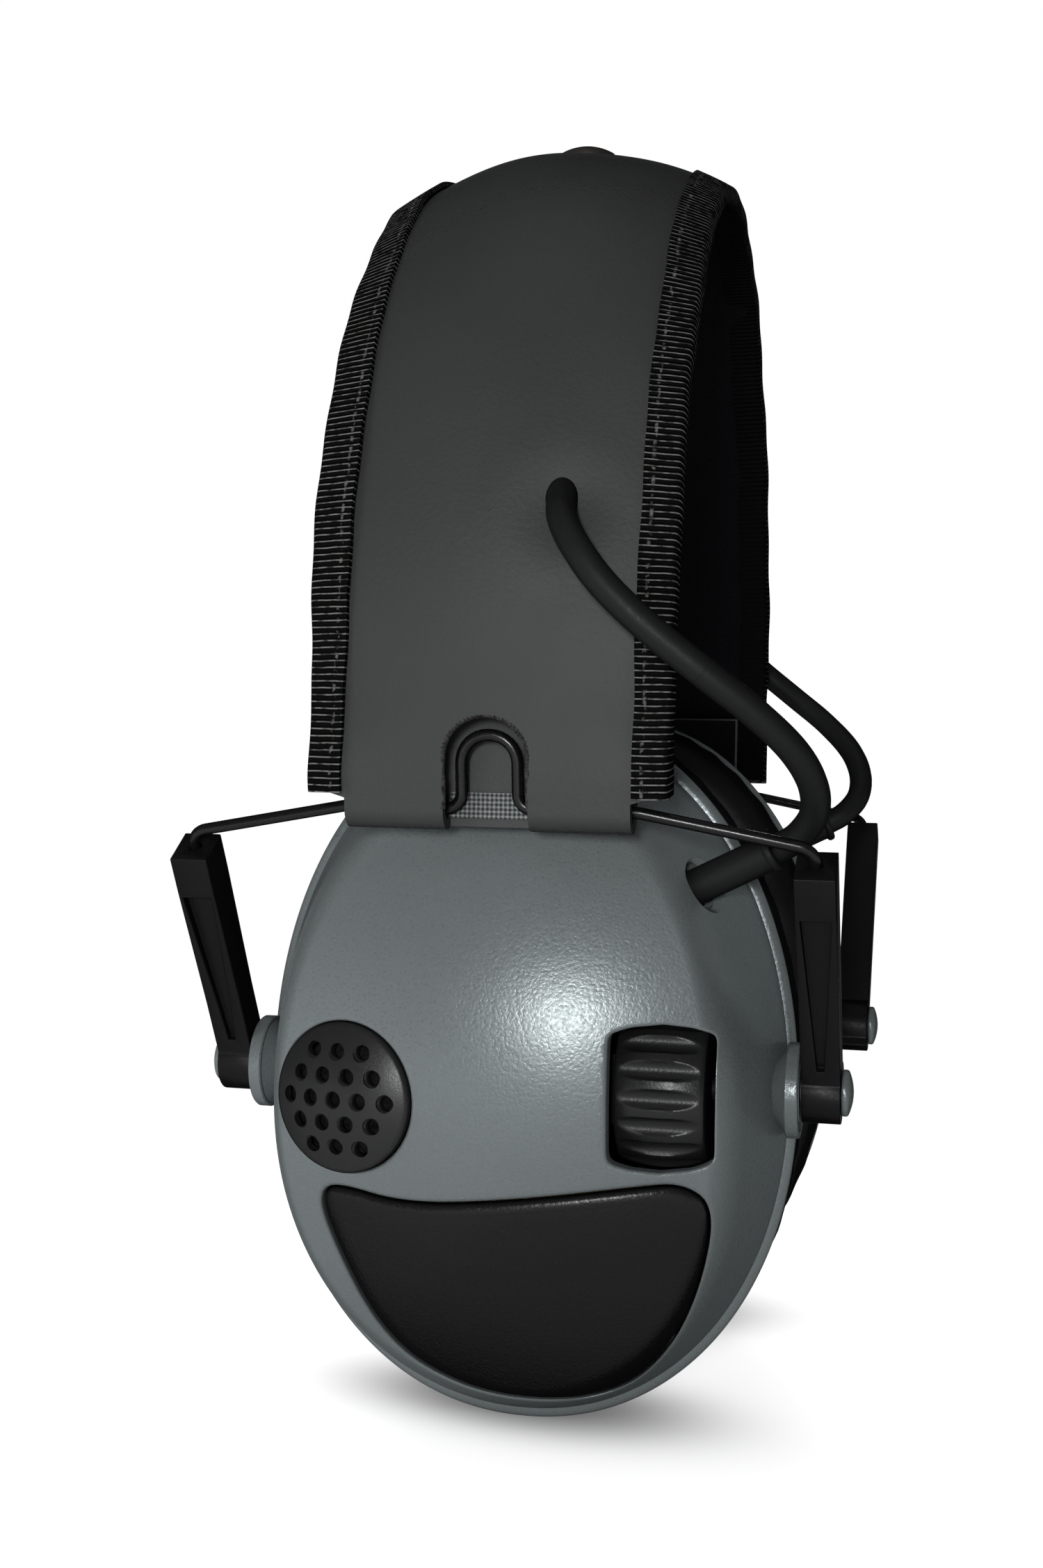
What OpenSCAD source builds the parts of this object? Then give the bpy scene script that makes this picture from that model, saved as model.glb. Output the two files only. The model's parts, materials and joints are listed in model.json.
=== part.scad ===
// Earmuff hearing protector: padded leather headband, wire yokes, sliding arms and electronic cups.
// Units are millimetres. +Z is up, +X is the wearer's rear and -Y is the wearer's left.
// The origin is on the floor, midway between the two cups.

/* [Headband] */
// Width over the edge bindings
band_w = 51; // [46:1:56]
// Width over the outside of the arch
band_span = 130; // [126:1:136]
// Height of the crown above the floor
crown_z = 200; // [196:0.5:205]
// Height at which the arch is widest
arch_waist_z = 111; // [108:0.5:114]
// Radius of the arc over the crown
crown_r = 53; // [49:0.5:55]
// Width of the leather face between the bindings
face_w = 40.4; // [36:0.2:44]
// How far the leather is domed across its face
leather_crown = 2; // [1.4:0.1:2.6]
// Thickness of the leather
leather_t = 1.4; // [1:0.1:1.8]
// Thickness of the band at its middle, leather and pad together
band_t = 9; // [7.5:0.5:11]
// Thickness of the binding tape
tape_t = 0.7; // [0.5:0.1:1]
// Height at which the bindings end
binding_z = 96; // [95:0.5:98]
// Height at which the pad ends
pad_z = 108.5; // [107.5:0.5:112]
// Width of the spring strip
spring_w = 13; // [10:0.5:14]
// Thickness of the spring strip
spring_t = 0.8; // [0.6:0.1:1]
// Height at which the spring strip ends
spring_z = 113; // [112:0.5:118]
// Diameter of the rivet head on the crown
rivet_d = 9.4; // [8:0.2:11]
// Height of the rivet head
rivet_h = 3.2; // [2.8:0.1:3.6]

/* [Sleeve and notch] */
// Height of the wire's axis in the sleeve
sleeve_z = 94; // [93:0.5:95]
// Outer radius of the leather sleeve
sleeve_r = 3; // [2.8:0.1:3.4]
// Width of the notch that shows the wire
notch_w = 12; // [11:0.5:13]
// Height of the notch above the wire's axis
notch_h = 13; // [12.5:0.5:14]

/* [Yoke wire] */
// Diameter of the wire
wire_d = 1.7; // [1.5:0.1:1.9]
// Distance between the legs of the U, between centres
loop_w = 8; // [7.6:0.2:8.6]
// Height of the U above the wire's axis, to its centre line
loop_h = 10.4; // [9.6:0.2:10.8]
// Lean of the U away from the band, in degrees
loop_lean = 8; // [6:1:10]
// Length of the wire inside an arm
leg_len = 30; // [26:1:31]
// Gap between the wire and what it slides or turns in, all round
wire_gap = 0.06; // [0.03:0.01:0.1]

/* [Arms] */
// Distance from the pivot to the arm's top
arm_len = 40.5; // [38:0.5:42]
// Lean of the arms, in degrees
arm_lean = 32; // [30:1:34]
// Width of an arm
arm_w = 5.6; // [5:0.2:6]
// Depth of an arm at its top
arm_d = 6.8; // [6.2:0.2:7.4]
// Depth of an arm at its waist
arm_waist_d = 5.6; // [5:0.2:6]
// Radius of the round end at the pivot
arm_end_r = 4.6; // [4.2:0.2:5]
// Distance from the cup's centre to the middle of an arm
arm_x = 44.8; // [44.6:0.1:46]
// Height of the pivots above the floor
pivot_z = 53; // [51:0.5:55]
// Distance of the pivots outboard of the cup's rim
pivot_out = 4.5; // [4:0.5:6]
// Diameter of a pivot pin
pin_d = 4; // [3.6:0.1:4.4]
// Diameter of a pin's head
pin_head_d = 6.8; // [6:0.2:7.4]
// Thickness of a pin's head
pin_head_t = 1.6; // [1.2:0.1:2]
// Diameter of the lug disc on the cup
lug_d = 14; // [13:0.5:15]

/* [Cup shell] */
// Height of the cup's rim
cup_h = 108; // [104:0.5:112]
// Width of the cup's rim
cup_w = 82; // [80:0.2:82.4]
// Height at which the cup is widest
cup_waist_z = 51; // [49:0.5:53]
// Distance of the rim from the middle of the headset
rim_y = 31.5; // [30:0.5:33]
// Depth of the shell from its rim to its crown
cup_d = 31.5; // [30.5:0.25:32.5]
// Wall of the shell
cup_wall = 2.4; // [2:0.1:2.8]
// Radius of the outer face across the cup
face_rx = 86; // [78:1:100]
// Radius of the outer face up the cup
face_rz = 62; // [59:0.5:66]
// Rise of the flank for a full shrink of the outline
flank_rise = 135; // [125:1:145]
// Softness of the crease between flank and face
crease = 6; // [4:0.5:8]
// Height of the bead round the rim
bead_h = 2.4; // [2:0.1:3]
// How far the bead stands out of the flank
bead_out = 1.3; // [1:0.1:1.6]

/* [Ear side] */
// Thickness of the base plate
base_t = 2.6; // [2.2:0.1:3]
// Thickness of the ear cushion
cushion_t = 12; // [10:0.5:13]
// Width of the ear cushion's ring
cushion_w = 15; // [13:0.5:17]
// Thickness of the foam sheet in the ear opening
foam_t = 3.5; // [2.5:0.5:5]
// Thickness of the baffle that carries the driver
baffle_t = 1.5; // [1.2:0.1:2]
// Diameter of the driver
driver_d = 30; // [26:1:32]
// Height of the driver's centre above the floor
driver_z = 58; // [57:0.5:60]
// Depth of the driver behind the baffle
driver_depth = 5; // [4:0.5:6]
// Diameter of the base plate's screws
screw_d = 2.4; // [2:0.1:2.8]

/* [Microphone] */
// Diameter of the grille
grille_d = 21.5; // [20:0.25:22.5]
// Height of the grille's dome
grille_rise = 2.4; // [1.8:0.1:3]
// Distance of the grille's centre in front of the cup's middle
grille_x = 20.8; // [20:0.2:21.6]
// Height of the grille's centre above the floor
grille_z = 52.5; // [51:0.5:54]
// Diameter of a hole in the grille
grille_hole_d = 2.1; // [1.8:0.1:2.4]
// Distance between the grille's holes
grille_pitch = 3.8; // [3.6:0.05:4]

/* [Volume wheel] */
// Width of the window
window_w = 14.4; // [13.5:0.1:15]
// Height of the window
window_h = 20.6; // [19:0.2:22]
// Distance of the window's middle behind the cup's middle
window_x = 24.4; // [23.6:0.2:25]
// Height of the window's middle above the floor
window_z = 54.6; // [53:0.2:56]
// Diameter of the wheel
wheel_d = 23; // [22:0.5:24]
// Width of the wheel
wheel_w = 12.7; // [11.5:0.1:12.8]
// Number of flutes round the wheel
flutes = 18; // [14:1:20]
// Depth of the wheel's axle below the cup's crown
axle_depth = 15.2; // [14.8:0.2:15.8]

/* [Lower panel and batteries] */
// Width of the panel at its top corners
panel_w = 55; // [52:0.5:56]
// Height of the panel's rear top corner above the floor
panel_top = 42.4; // [41:0.2:42.6]
// How much lower the front top corner is
panel_lean = 3; // [2:0.2:4]
// Height of the panel's lowest point above the floor
panel_foot = 5.9; // [5.7:0.2:7.1]
// How far the panel's top edge dips in the middle
panel_dip = 1.9; // [1:0.1:3]
// Distance of the panel's middle behind the cup's middle
panel_x = 3; // [2:0.2:3.4]
// Gap round the panel
panel_gap = 0.4; // [0.3:0.1:0.6]
// Diameter of a battery cell
cell_d = 10.5; // [10:0.1:10.8]
// Length of a battery cell
cell_len = 44.5; // [43:0.1:44.6]

/* [Link cord] */
// Diameter of the cord
cord_d = 4.2; // [3.8:0.1:4.5]
// Diameter of the boot
boot_d = 5.2; // [4.8:0.1:5.4]
// Length of the boot
boot_len = 16; // [15:0.5:17]

/* [Hidden] */

$fn = 64;
far = 60;

// Overlaps that make neighbouring arcs, runs and bends one body
lap_a = 0.25;
lap = 0.3;
swell = 0.08;
bend_swell = 0.03;

// Gap between the layers of the band
ply_gap = 0.2;

// Arch: two side arcs that meet a crown arc in line
half_span = band_span / 2;
arch_rise = crown_z - arch_waist_z;
side_r = (half_span ^ 2 + arch_rise ^ 2 - 2 * arch_rise * crown_r) / (2 * (half_span - crown_r));
side_y = side_r - half_span;
join_a = atan2(arch_rise - crown_r, side_y);
dome_r = ((face_w / 2) ^ 2 + leather_crown ^ 2) / (2 * leather_crown);
pad_r = dome_r;
leather_half = band_w / 2 - tape_t - ply_gap;
function band_y(z) = sqrt(side_r ^ 2 - (z - arch_waist_z) ^ 2) - side_y;
function side_angle(z) = asin((z - arch_waist_z) / side_r);

// Wire: one bent rod, seen from the left side
sleeve_y = -(band_y(sleeve_z) - sleeve_r);
pivot_y = -(rim_y + pivot_out);
arm_dir = [0, -sin(arm_lean), cos(arm_lean)];
arm_top = [arm_x, pivot_y, pivot_z] + arm_len * arm_dir;
corner_r = 2.8;
corner_lift = 2.6;
wire_corner = arm_top + corner_lift * arm_dir;
sleeve_exit = [face_w / 2 + 0.6, sleeve_y, sleeve_z];
loop_dir = [0, -sin(loop_lean), cos(loop_lean)];
loop_base = [loop_w / 2, sleeve_y, sleeve_z];
wire_half = [
    wire_corner - (corner_lift + leg_len) * arm_dir,
    wire_corner,
    sleeve_exit,
    loop_base,
    loop_base + loop_h * loop_dir
];
wire_points = concat(wire_half, [for (i = [4:-1:0]) [-wire_half[i].x, wire_half[i].y, wire_half[i].z]]);
loop_r = loop_w / 2 - 0.1;
wire_bends = [corner_r, 6, 2.2, loop_r, loop_r, 2.2, 6, corner_r];

// Cup: an egg outline, a flank that rises inside it and a domed face that cuts the flank off
egg_n = 2.1;
half_w = cup_w / 2;
top_h = cup_h - cup_waist_z;
peak_z = cup_waist_z + 5;
bead_q = 1 - bead_out / half_w;
cavity_q = bead_q - (cup_wall - bead_h / flank_rise * half_w) / half_w;
rim_steps = 44;
function egg(a, q = 1) = let (c = cos(a), s = sin(a), e = 2 / egg_n)
    [q * half_w * sign(c) * abs(c) ^ e,
     cup_waist_z + q * (s > 0 ? top_h : cup_waist_z) * sign(s) * abs(s) ^ e];
function egg_q(x, z) = let (up = z - cup_waist_z)
    ((abs(x) / half_w) ^ egg_n + (abs(up) / (up > 0 ? top_h : cup_waist_z)) ^ egg_n) ^ (1 / egg_n);
function soft_min(a, b) = let (h = max(crease - abs(a - b), 0) / crease)
    min(a, b) - h * h * crease / 4;
function face_rise(x, z) = cup_d - x ^ 2 / (2 * face_rx) - (z - peak_z) ^ 2 / (2 * face_rz);
function shell_rise(x, z) = soft_min(bead_h + (bead_q - egg_q(x, z)) * flank_rise, face_rise(x, z));
function cavity_rise(x, z) = soft_min((cavity_q - egg_q(x, z)) * flank_rise, face_rise(x, z) - cup_wall);
function on_shell(x, z, lift = 0) = [x, -rim_y - shell_rise(x, z) - lift, z];

// Pivots and lugs
lug_x = arm_x - arm_w / 2 - 0.3;
lug_t = 2;
boss_t = 2.6;
pin_in = 3.2;

// Ear side, from the rim towards the head
base_y = -rim_y + base_t;
seal_y = base_y + cushion_t;
opening_inset = 15;
screw_inset = 6;
screw_angles = [35, 145, 215, 325];

// Microphone, turned with the face under it
grille_tilt = atan(grille_x / face_rx);
grille_seat = on_shell(-grille_x, grille_z, -1.1);
skirt_r = grille_d / 2 - 0.8;
skirt_len = 5;
capsule_d = 9.6;
capsule_len = 5;

// Volume wheel
axle_y = -(rim_y + cup_d - axle_depth);
wheel_x = window_x - 0.55;
axle_d = 3;
pot_w = 7;
pot_h = 10;
pot_front = 5;

// Circuit board, on two posts of the baffle
board_t = 1.6;
board_y = axle_y + 5;
board_size = [30, 40];
board_low = window_z - 6;
post_x = 11;

// Batteries, side by side across the cup
tray_wall = 0.8;
cell_low_z = 24;
cell_pitch = cell_d + 0.5;
tray_back = -rim_y - baffle_t;
cell_y = tray_back - 1.5 - cell_d / 2;
contact_t = 0.3;
contact_w = 6;
contact_h = 7;

// Link cord: from the hole in the leather to the boot, left side
cord_route = [
    [9, -57.5, 139], [9.4, -61, 136.8], [10.4, -65, 133.6], [13, -67.8, 129.4], [17, -69, 124.4],
    [23, -68.8, 118.8], [30, -67.4, 113.2], [36.6, -64.6, 108], [41.6, -60.6, 103],
    [44, -56.4, 98.4], [44, -52.6, 94.2], [41.6, -50, 90.9], [38.6, -49, 89]
];
boot_end = [38.6, -49, 89];
boot_dir = unit([0.87, -0.22, 0.44]);
scoop_r = 7.3;
scoop_back = 6.5;
collar_d = 6.4;
collar_t = 1.1;

function unit(v) = v / norm(v);
function side_of(z) = unit(cross(abs(z.x) < 0.9 ? [1, 0, 0] : [0, 1, 0], z));

// Places children with their X, Y and Z along three square axes
module on_axes(x, y, z, at) {
    multmatrix([[x.x, y.x, z.x, at.x], [x.y, y.y, z.y, at.y], [x.z, y.z, z.z, at.z], [0, 0, 0, 1]])
        children();
}

// Places children at a point, with their Z along a direction
module along(at, dir) {
    z = unit(dir);
    x = side_of(z);
    on_axes(x, cross(z, x), z, at) children();
}

module rod(from, to, d) {
    along(from, to - from) cylinder(d = d, h = norm(to - from));
}

// A bar along X, centred on a point
module bar_x(at, d, len) {
    translate(at) rotate([0, 90, 0]) cylinder(d = d, h = len, center = true);
}

// A rod along straight runs, with a round bend at each corner
module bent_rod(points, bends, d) {
    last = len(points) - 1;
    dirs = [for (i = [0:last - 1]) unit(points[i + 1] - points[i])];
    angles = [for (i = [1:last - 1]) acos(dirs[i - 1] * dirs[i])];
    trims = concat([0], [for (i = [0:last - 2]) bends[i] * tan(angles[i] / 2)], [0]);
    for (i = [0:last - 1]) {
        from = i > 0 ? trims[i] - lap : 0;
        to = i < last - 1 ? trims[i + 1] - lap : 0;
        rod(points[i] + from * dirs[i], points[i + 1] - to * dirs[i], d);
    }
    for (i = [1:last - 1]) {
        u = dirs[i - 1];
        v = dirs[i];
        a = angles[i - 1];
        centre = points[i] + unit(v - u) * bends[i - 1] / cos(a / 2);
        n = unit(cross(u, v));
        x = unit(points[i] - trims[i] * u - centre);
        on_axes(x, cross(n, x), n, centre)
            rotate_extrude(angle = a) translate([bends[i - 1], 0]) circle(d = d + 2 * bend_swell);
    }
}

module mirrored_right() {
    mirror([0, 1, 0]) children();
}

module both_sides() {
    children();
    mirrored_right() children();
}

// Sweeps a profile drawn as outward by along-X through one arc of the arch
module arc_sweep(centre_y, centre_z, r, from, to) {
    translate([0, centre_y, centre_z]) rotate([90, 0, 90]) rotate([0, 0, from])
        rotate_extrude(angle = to - from) translate([r, 0]) children();
}

// Sweeps a profile over the whole arch, down to a height on both sides;
// the first child is the profile over the crown, the second the one at the sides
module arch_sweep(low_z) {
    low = side_angle(low_z);
    arc_sweep(0, crown_z - crown_r, crown_r, join_a, 180 - join_a) children(0);
    arc_sweep(-side_y, arch_waist_z, side_r, low, join_a + lap_a) children(1);
    arc_sweep(side_y, arch_waist_z, side_r, 180 - join_a - lap_a, 180 - low) children(1);
}

module strip(half) {
    translate([-2 * band_t, -half]) square([2 * band_t + 2, 2 * half]);
}

module leather_disc(r) {
    translate([-dome_r, 0]) circle(r = r, $fn = 180);
}

module pad_disc(r) {
    translate([pad_r - band_t, 0]) circle(r = r, $fn = 180);
}

// Layers of the band, drawn outward by along-X and grown a little over the crown
module leather_2d(half, grow = 0) {
    intersection() {
        difference() {
            leather_disc(dome_r + grow);
            leather_disc(dome_r - leather_t - grow);
        }
        strip(half + grow);
    }
}

module spring_2d(grow = 0) {
    outer = dome_r - leather_t - ply_gap;
    intersection() {
        difference() {
            leather_disc(outer + grow);
            leather_disc(outer - spring_t - grow);
        }
        strip(spring_w / 2 + grow);
    }
}

module pad_2d(grow = 0) {
    difference() {
        intersection() {
            leather_disc(dome_r - leather_t - ply_gap + grow);
            pad_disc(pad_r + grow);
            strip(band_w / 2 - tape_t - ply_gap + grow);
        }
        intersection() {
            difference() {
                leather_disc(dome_r);
                leather_disc(dome_r - leather_t - spring_t - 2 * ply_gap - grow);
            }
            strip(spring_w / 2 + ply_gap - grow);
        }
    }
}

// The tape folds round the edge of the leather and the pad
module binding_2d(side, grow = 0) {
    intersection() {
        difference() {
            intersection() {
                leather_disc(dome_r + ply_gap + tape_t + grow);
                pad_disc(pad_r + ply_gap + tape_t + grow);
                strip(band_w / 2 + grow);
            }
            intersection() {
                leather_disc(dome_r + ply_gap - grow);
                pad_disc(pad_r + ply_gap - grow);
                strip(band_w / 2 - tape_t - grow);
            }
        }
        translate([-2 * band_t, side > 0 ? face_w / 2 - grow : -band_w])
            square([4 * band_t, band_w - face_w / 2 + grow]);
    }
}

// Hole through which the cord comes out of the band, left side
module cord_hole() {
    along(cord_route[0], cord_route[1] - cord_route[0]) cylinder(d = cord_d + 1, h = 9);
}

module rivet_hole(d) {
    translate([0, 0, crown_z - band_t / 2]) cylinder(d = d, h = band_t);
}

// Fold of leather round the wire, with the flap that goes up inside
module sleeve() {
    bar_x([0, sleeve_y, sleeve_z], 2 * sleeve_r, face_w);
    translate([-face_w / 2, sleeve_y + sleeve_r - leather_t, sleeve_z])
        cube([face_w, leather_t, pad_z - 0.2 - sleeve_z]);
    low = side_angle(sleeve_z);
    arc_sweep(side_y, arch_waist_z, side_r, 180 - side_angle(binding_z) - lap_a, 180 - low)
        leather_2d(face_w / 2, swell);
}

module notch() {
    depth = far;
    arch_z = sleeve_z + notch_h - notch_w / 2;
    translate([0, sleeve_y + sleeve_r - leather_t - 0.1, 0]) rotate([90, 0, 0]) {
        translate([0, arch_z]) cylinder(d = notch_w, h = depth);
        translate([-notch_w / 2, sleeve_z - 2 * sleeve_r])
            cube([notch_w, arch_z - sleeve_z + 2 * sleeve_r, depth]);
    }
}

module headband_cover() color("#3a3e40") {
    difference() {
        union() {
            arch_sweep(binding_z) {
                leather_2d(leather_half, swell);
                leather_2d(leather_half);
            }
            both_sides() sleeve();
        }
        both_sides() {
            notch();
            bar_x([0, sleeve_y, sleeve_z], wire_d + 2 * wire_gap, face_w + 2);
            cord_hole();
        }
        rivet_hole(4);
        translate([0, 0, crown_z - 0.4]) cylinder(d = rivet_d + 0.2, h = band_t);
    }
}

module headband_pad() color("#17181a") {
    difference() {
        arch_sweep(pad_z) {
            pad_2d(swell);
            pad_2d();
        }
        rivet_hole(4.2);
        both_sides() cord_hole();
    }
}

module band_spring() color("#8d9196") {
    difference() {
        arch_sweep(spring_z) {
            spring_2d(swell);
            spring_2d();
        }
        rivet_hole(4);
    }
}

module edge_binding_front() color("#121314") {
    arch_sweep(binding_z) {
        binding_2d(-1, swell);
        binding_2d(-1);
    }
}

module edge_binding_rear() color("#121314") {
    arch_sweep(binding_z) {
        binding_2d(1, swell);
        binding_2d(1);
    }
}

module crown_rivet() color("#2a2320") {
    seat = crown_z - 0.4;
    translate([0, 0, seat]) rotate_extrude() intersection() {
        translate([0, rivet_h - 9]) circle(r = 9, $fn = 120);
        square([rivet_d / 2, 2 * rivet_h]);
    }
    translate([0, 0, seat - leather_t - spring_t]) cylinder(d = 3.9, h = leather_t + spring_t);
}

// One ring of points round each point of a route, square to it
function route_dir(p, i) = let (n = len(p) - 1) unit(p[min(i + 1, n)] - p[max(i - 1, 0)]);
function ring(at, z, r, sides) = let (x = side_of(z), y = cross(z, x))
    [for (k = [0:sides - 1]) let (a = 360 * k / sides) at + r * (cos(a) * x + sin(a) * y)];

// A closed body from rings of equal count, capped at both ends
module ring_body(rings) {
    m = len(rings[0]);
    n = len(rings);
    faces = concat(
        [[for (k = [0:m - 1]) k]],
        [for (i = [0:n - 2], k = [0:m - 1]) let (j = (k + 1) % m)
            [i * m + k, (i + 1) * m + k, (i + 1) * m + j]],
        [for (i = [0:n - 2], k = [0:m - 1]) let (j = (k + 1) % m)
            [i * m + k, (i + 1) * m + j, i * m + j]],
        [[for (k = [m - 1:-1:0]) (n - 1) * m + k]]
    );
    polyhedron([for (r = rings) each r], faces);
}

module cord_tube() color("#1c1d1e") {
    last = len(cord_route) - 1;
    dirs = [for (i = [0:last]) i == last ? -boot_dir : route_dir(cord_route, i)];
    ring_body([for (i = [0:last]) ring(cord_route[i], dirs[i], cord_d / 2, 10)]);
}

module link_cord_left() {
    cord_tube();
}

module link_cord_right() {
    mirrored_right() cord_tube();
}

module yoke_wire_left() color("#0f1011") {
    bent_rod(wire_points, wire_bends, wire_d);
}

module yoke_wire_right() {
    mirrored_right() yoke_wire_left();
}

// Side view of an arm: round end, waist and square head
module arm_2d() {
    circle(r = arm_end_r);
    polygon([
        [-arm_d / 2, arm_len], [arm_d / 2, arm_len], [arm_d / 2, arm_len - 6],
        [arm_waist_d / 2, arm_len / 3], [arm_waist_d / 2, 0], [-arm_waist_d / 2, 0],
        [-arm_waist_d / 2, arm_len / 3], [-arm_d / 2, arm_len - 6]
    ]);
}

// Arm at the rear of the left cup
module arm() color("#141516") {
    flange = 0.6;
    recess_top = arm_w / 2 - flange;
    recess_floor = wire_d / 2 + wire_gap + 0.8;
    translate([arm_x, pivot_y, pivot_z]) rotate([arm_lean, 0, 0]) difference() {
        union() {
            translate([-arm_w / 2, 0, 0]) rotate([90, 0, 90]) linear_extrude(arm_w) arm_2d();
            translate([-arm_w / 2, arm_waist_d / 2 - 1, -arm_end_r - 0.6])
                cube([arm_w, 1, arm_end_r + 4]);
        }
        translate([0, -recess_floor, 0]) rotate([90, 0, 0]) linear_extrude(arm_d)
            polygon([
                [-recess_top, arm_len - 7], [recess_top, arm_len - 7],
                [0.5, arm_end_r + 1.5], [-0.5, arm_end_r + 1.5]
            ]);
        translate([0, 0, arm_len - leg_len - 2]) cylinder(d = wire_d + 2 * wire_gap, h = far);
        bar_x([0, 0, 0], pin_d + 0.1, 2 * arm_w);
    }
}

module arm_rear_left() {
    arm();
}

module arm_front_left() {
    mirror([1, 0, 0]) arm();
}

module arm_rear_right() {
    mirrored_right() arm();
}

module arm_front_right() {
    mirrored_right() mirror([1, 0, 0]) arm();
}

// Egg-shaped plate in the plane of the rim, from one depth to another
module egg_plate(inset, from_y, to_y) {
    translate([0, to_y, 0]) rotate([90, 0, 0]) linear_extrude(to_y - from_y)
        polygon([for (k = [0:rim_steps - 1]) egg_inset(360 * k / rim_steps, inset)]);
}

function egg_inset(a, inset) = let (c = cos(a), s = sin(a), e = 2 / egg_n)
    [(half_w - inset) * sign(c) * abs(c) ^ e,
     cup_waist_z + ((s > 0 ? top_h : cup_waist_z) - inset) * sign(s) * abs(s) ^ e];

// Ring of the shell at a shrink of the outline, at the height of its surface
function face_ring(q) = [for (k = [0:rim_steps - 1]) let (p = egg(360 * k / rim_steps, q)) on_shell(p.x, p.y)];
function cavity_ring(q) = [for (k = [0:rim_steps - 1]) let (p = egg(360 * k / rim_steps, q))
    [p.x, -rim_y - cavity_rise(p.x, p.y), p.y]];
function rim_ring(q, h) = [for (k = [0:rim_steps - 1]) let (p = egg(360 * k / rim_steps, q)) [p.x, -rim_y - h, p.y]];

// Hollow shell: cavity, rim, bead, flank and face in one skin
module shell_body() {
    bead_q1 = 1 - 0.4 / half_w;
    flank_qs = [for (i = [1:8]) bead_q - 0.032 * i];
    face_qs = [0.6, 0.46, 0.3, 0.14, 0.02];
    inner_qs = [0.02, 0.25, 0.5, 0.66, for (i = [4:-1:1]) cavity_q - 0.05 * i];
    ring_body(concat(
        [for (q = inner_qs) cavity_ring(q)],
        [rim_ring(cavity_q, 0), rim_ring(bead_q1, 0), rim_ring(1, 0.8), rim_ring(1, 1.6),
         rim_ring(bead_q1, bead_h - 0.1), rim_ring(bead_q, bead_h)],
        [for (q = flank_qs) face_ring(q)],
        [for (q = face_qs) face_ring(q)]
    ));
}

// Thin disc on a boss that narrows towards the flank
module lug() {
    bar_x([lug_x - lug_t / 2, pivot_y, pivot_z], lug_d, lug_t);
    translate([lug_x - lug_t + 0.3, pivot_y, pivot_z]) rotate([0, -90, 0])
        cylinder(d1 = lug_d - 1.2, d2 = lug_d - 7, h = boss_t + 0.3);
}

module lug_dish() {
    bar_x([lug_x, pivot_y, pivot_z], pin_d + 0.04, 4 * pin_in);
    difference() {
        bar_x([lug_x, pivot_y, pivot_z], lug_d - 2, 0.8);
        bar_x([lug_x, pivot_y, pivot_z], 2 * arm_end_r, 2);
    }
}

module at_grille() {
    translate(grille_seat) rotate([0, 0, -grille_tilt]) rotate([90, 0, 0]) children();
}

module at_screws() {
    for (a = screw_angles) {
        p = egg_inset(a, screw_inset);
        translate([p.x, -rim_y, p.y]) rotate([90, 0, 0]) children();
    }
}

// Corners of the panel's outline, rounded by cutting each corner twice
function cut_corners(p) = [for (i = [0:len(p) - 1]) let (a = p[i], b = p[(i + 1) % len(p)])
    each [0.75 * a + 0.25 * b, 0.25 * a + 0.75 * b]];
panel_h = panel_top - panel_foot;
panel_mid = panel_foot + 0.55 * panel_h;
panel_front = 1 - panel_lean / panel_h;
panel_sag = panel_dip / panel_h;
panel_corners = [
    [-0.51, panel_front - 0.045], [-0.46, panel_front], [-0.27, panel_front + 0.02 - 1.4 * panel_sag],
    [0.02, panel_front + 0.045 - 0.93 * panel_sag], [0.345, 0.99], [0.445, 1], [0.515, 0.91],
    [0.47, 0.565], [0.375, 0.25], [0.23, 0.02], [-0.01, -0.01], [-0.2, 0.05], [-0.375, 0.24],
    [-0.496, panel_front - 0.185]
];
panel_loop = cut_corners(cut_corners([for (c = panel_corners) [c.x * panel_w, panel_foot + c.y * panel_h]]));

function panel_point(p, shrink) = let (s = 1 - shrink / (panel_w / 2))
    [panel_x + s * p.x, panel_mid + s * (p.y - panel_mid)];
function panel_ring(shrink, lift) = [for (p = panel_loop) let (c = panel_point(p, shrink))
    on_shell(c.x, c.y, lift)];

// Opening for the panel, straight through the face
module panel_opening() {
    translate([0, -rim_y - 6, 0]) rotate([90, 0, 0]) linear_extrude(far)
        polygon([for (p = panel_loop) panel_point(p, -panel_gap)]);
}

// Pillowed panel that follows the face under it
module panel() color("#121315") {
    ring_body([
        panel_ring(20, -2), panel_ring(10, -2), panel_ring(0, -2), panel_ring(0, -0.4),
        panel_ring(0.6, 0.3), panel_ring(2, 0.7), panel_ring(6, 1), panel_ring(14, 1.1), panel_ring(22, 1.1)
    ]);
}

module window_2d() {
    arc_r = 18;
    intersection() {
        square([window_w, window_h], center = true);
        translate([0, window_h / 2 - arc_r]) circle(r = arc_r);
        translate([0, arc_r - window_h / 2]) circle(r = arc_r);
    }
}

// Shell of the left cup without its openings for the wheel
module shell() color("#6b7474") {
    difference() {
        union() {
            shell_body();
            lug();
            mirror([1, 0, 0]) lug();
            at_screws() cylinder(d = screw_d + 2.6, h = 6);
        }
        lug_dish();
        mirror([1, 0, 0]) lug_dish();
        at_screws() translate([0, 0, -1]) cylinder(d = screw_d, h = 6);
        at_grille() {
            cylinder(d = grille_d + 0.3, h = 20);
            translate([0, 0, -skirt_len - 6]) cylinder(r = skirt_r + 0.1, h = far);
        }
        panel_opening();
        along(boot_end - 30 * boot_dir, boot_dir) cylinder(d = boot_d + 0.04, h = 30);
        translate(boot_end - scoop_back * boot_dir) sphere(r = scoop_r);
    }
}

module cup_shell_left() {
    difference() {
        shell();
        translate([window_x, -rim_y - 10, window_z]) rotate([90, 0, 0]) linear_extrude(far) window_2d();
    }
}

module cup_shell_right() {
    mirrored_right() shell();
}

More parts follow.
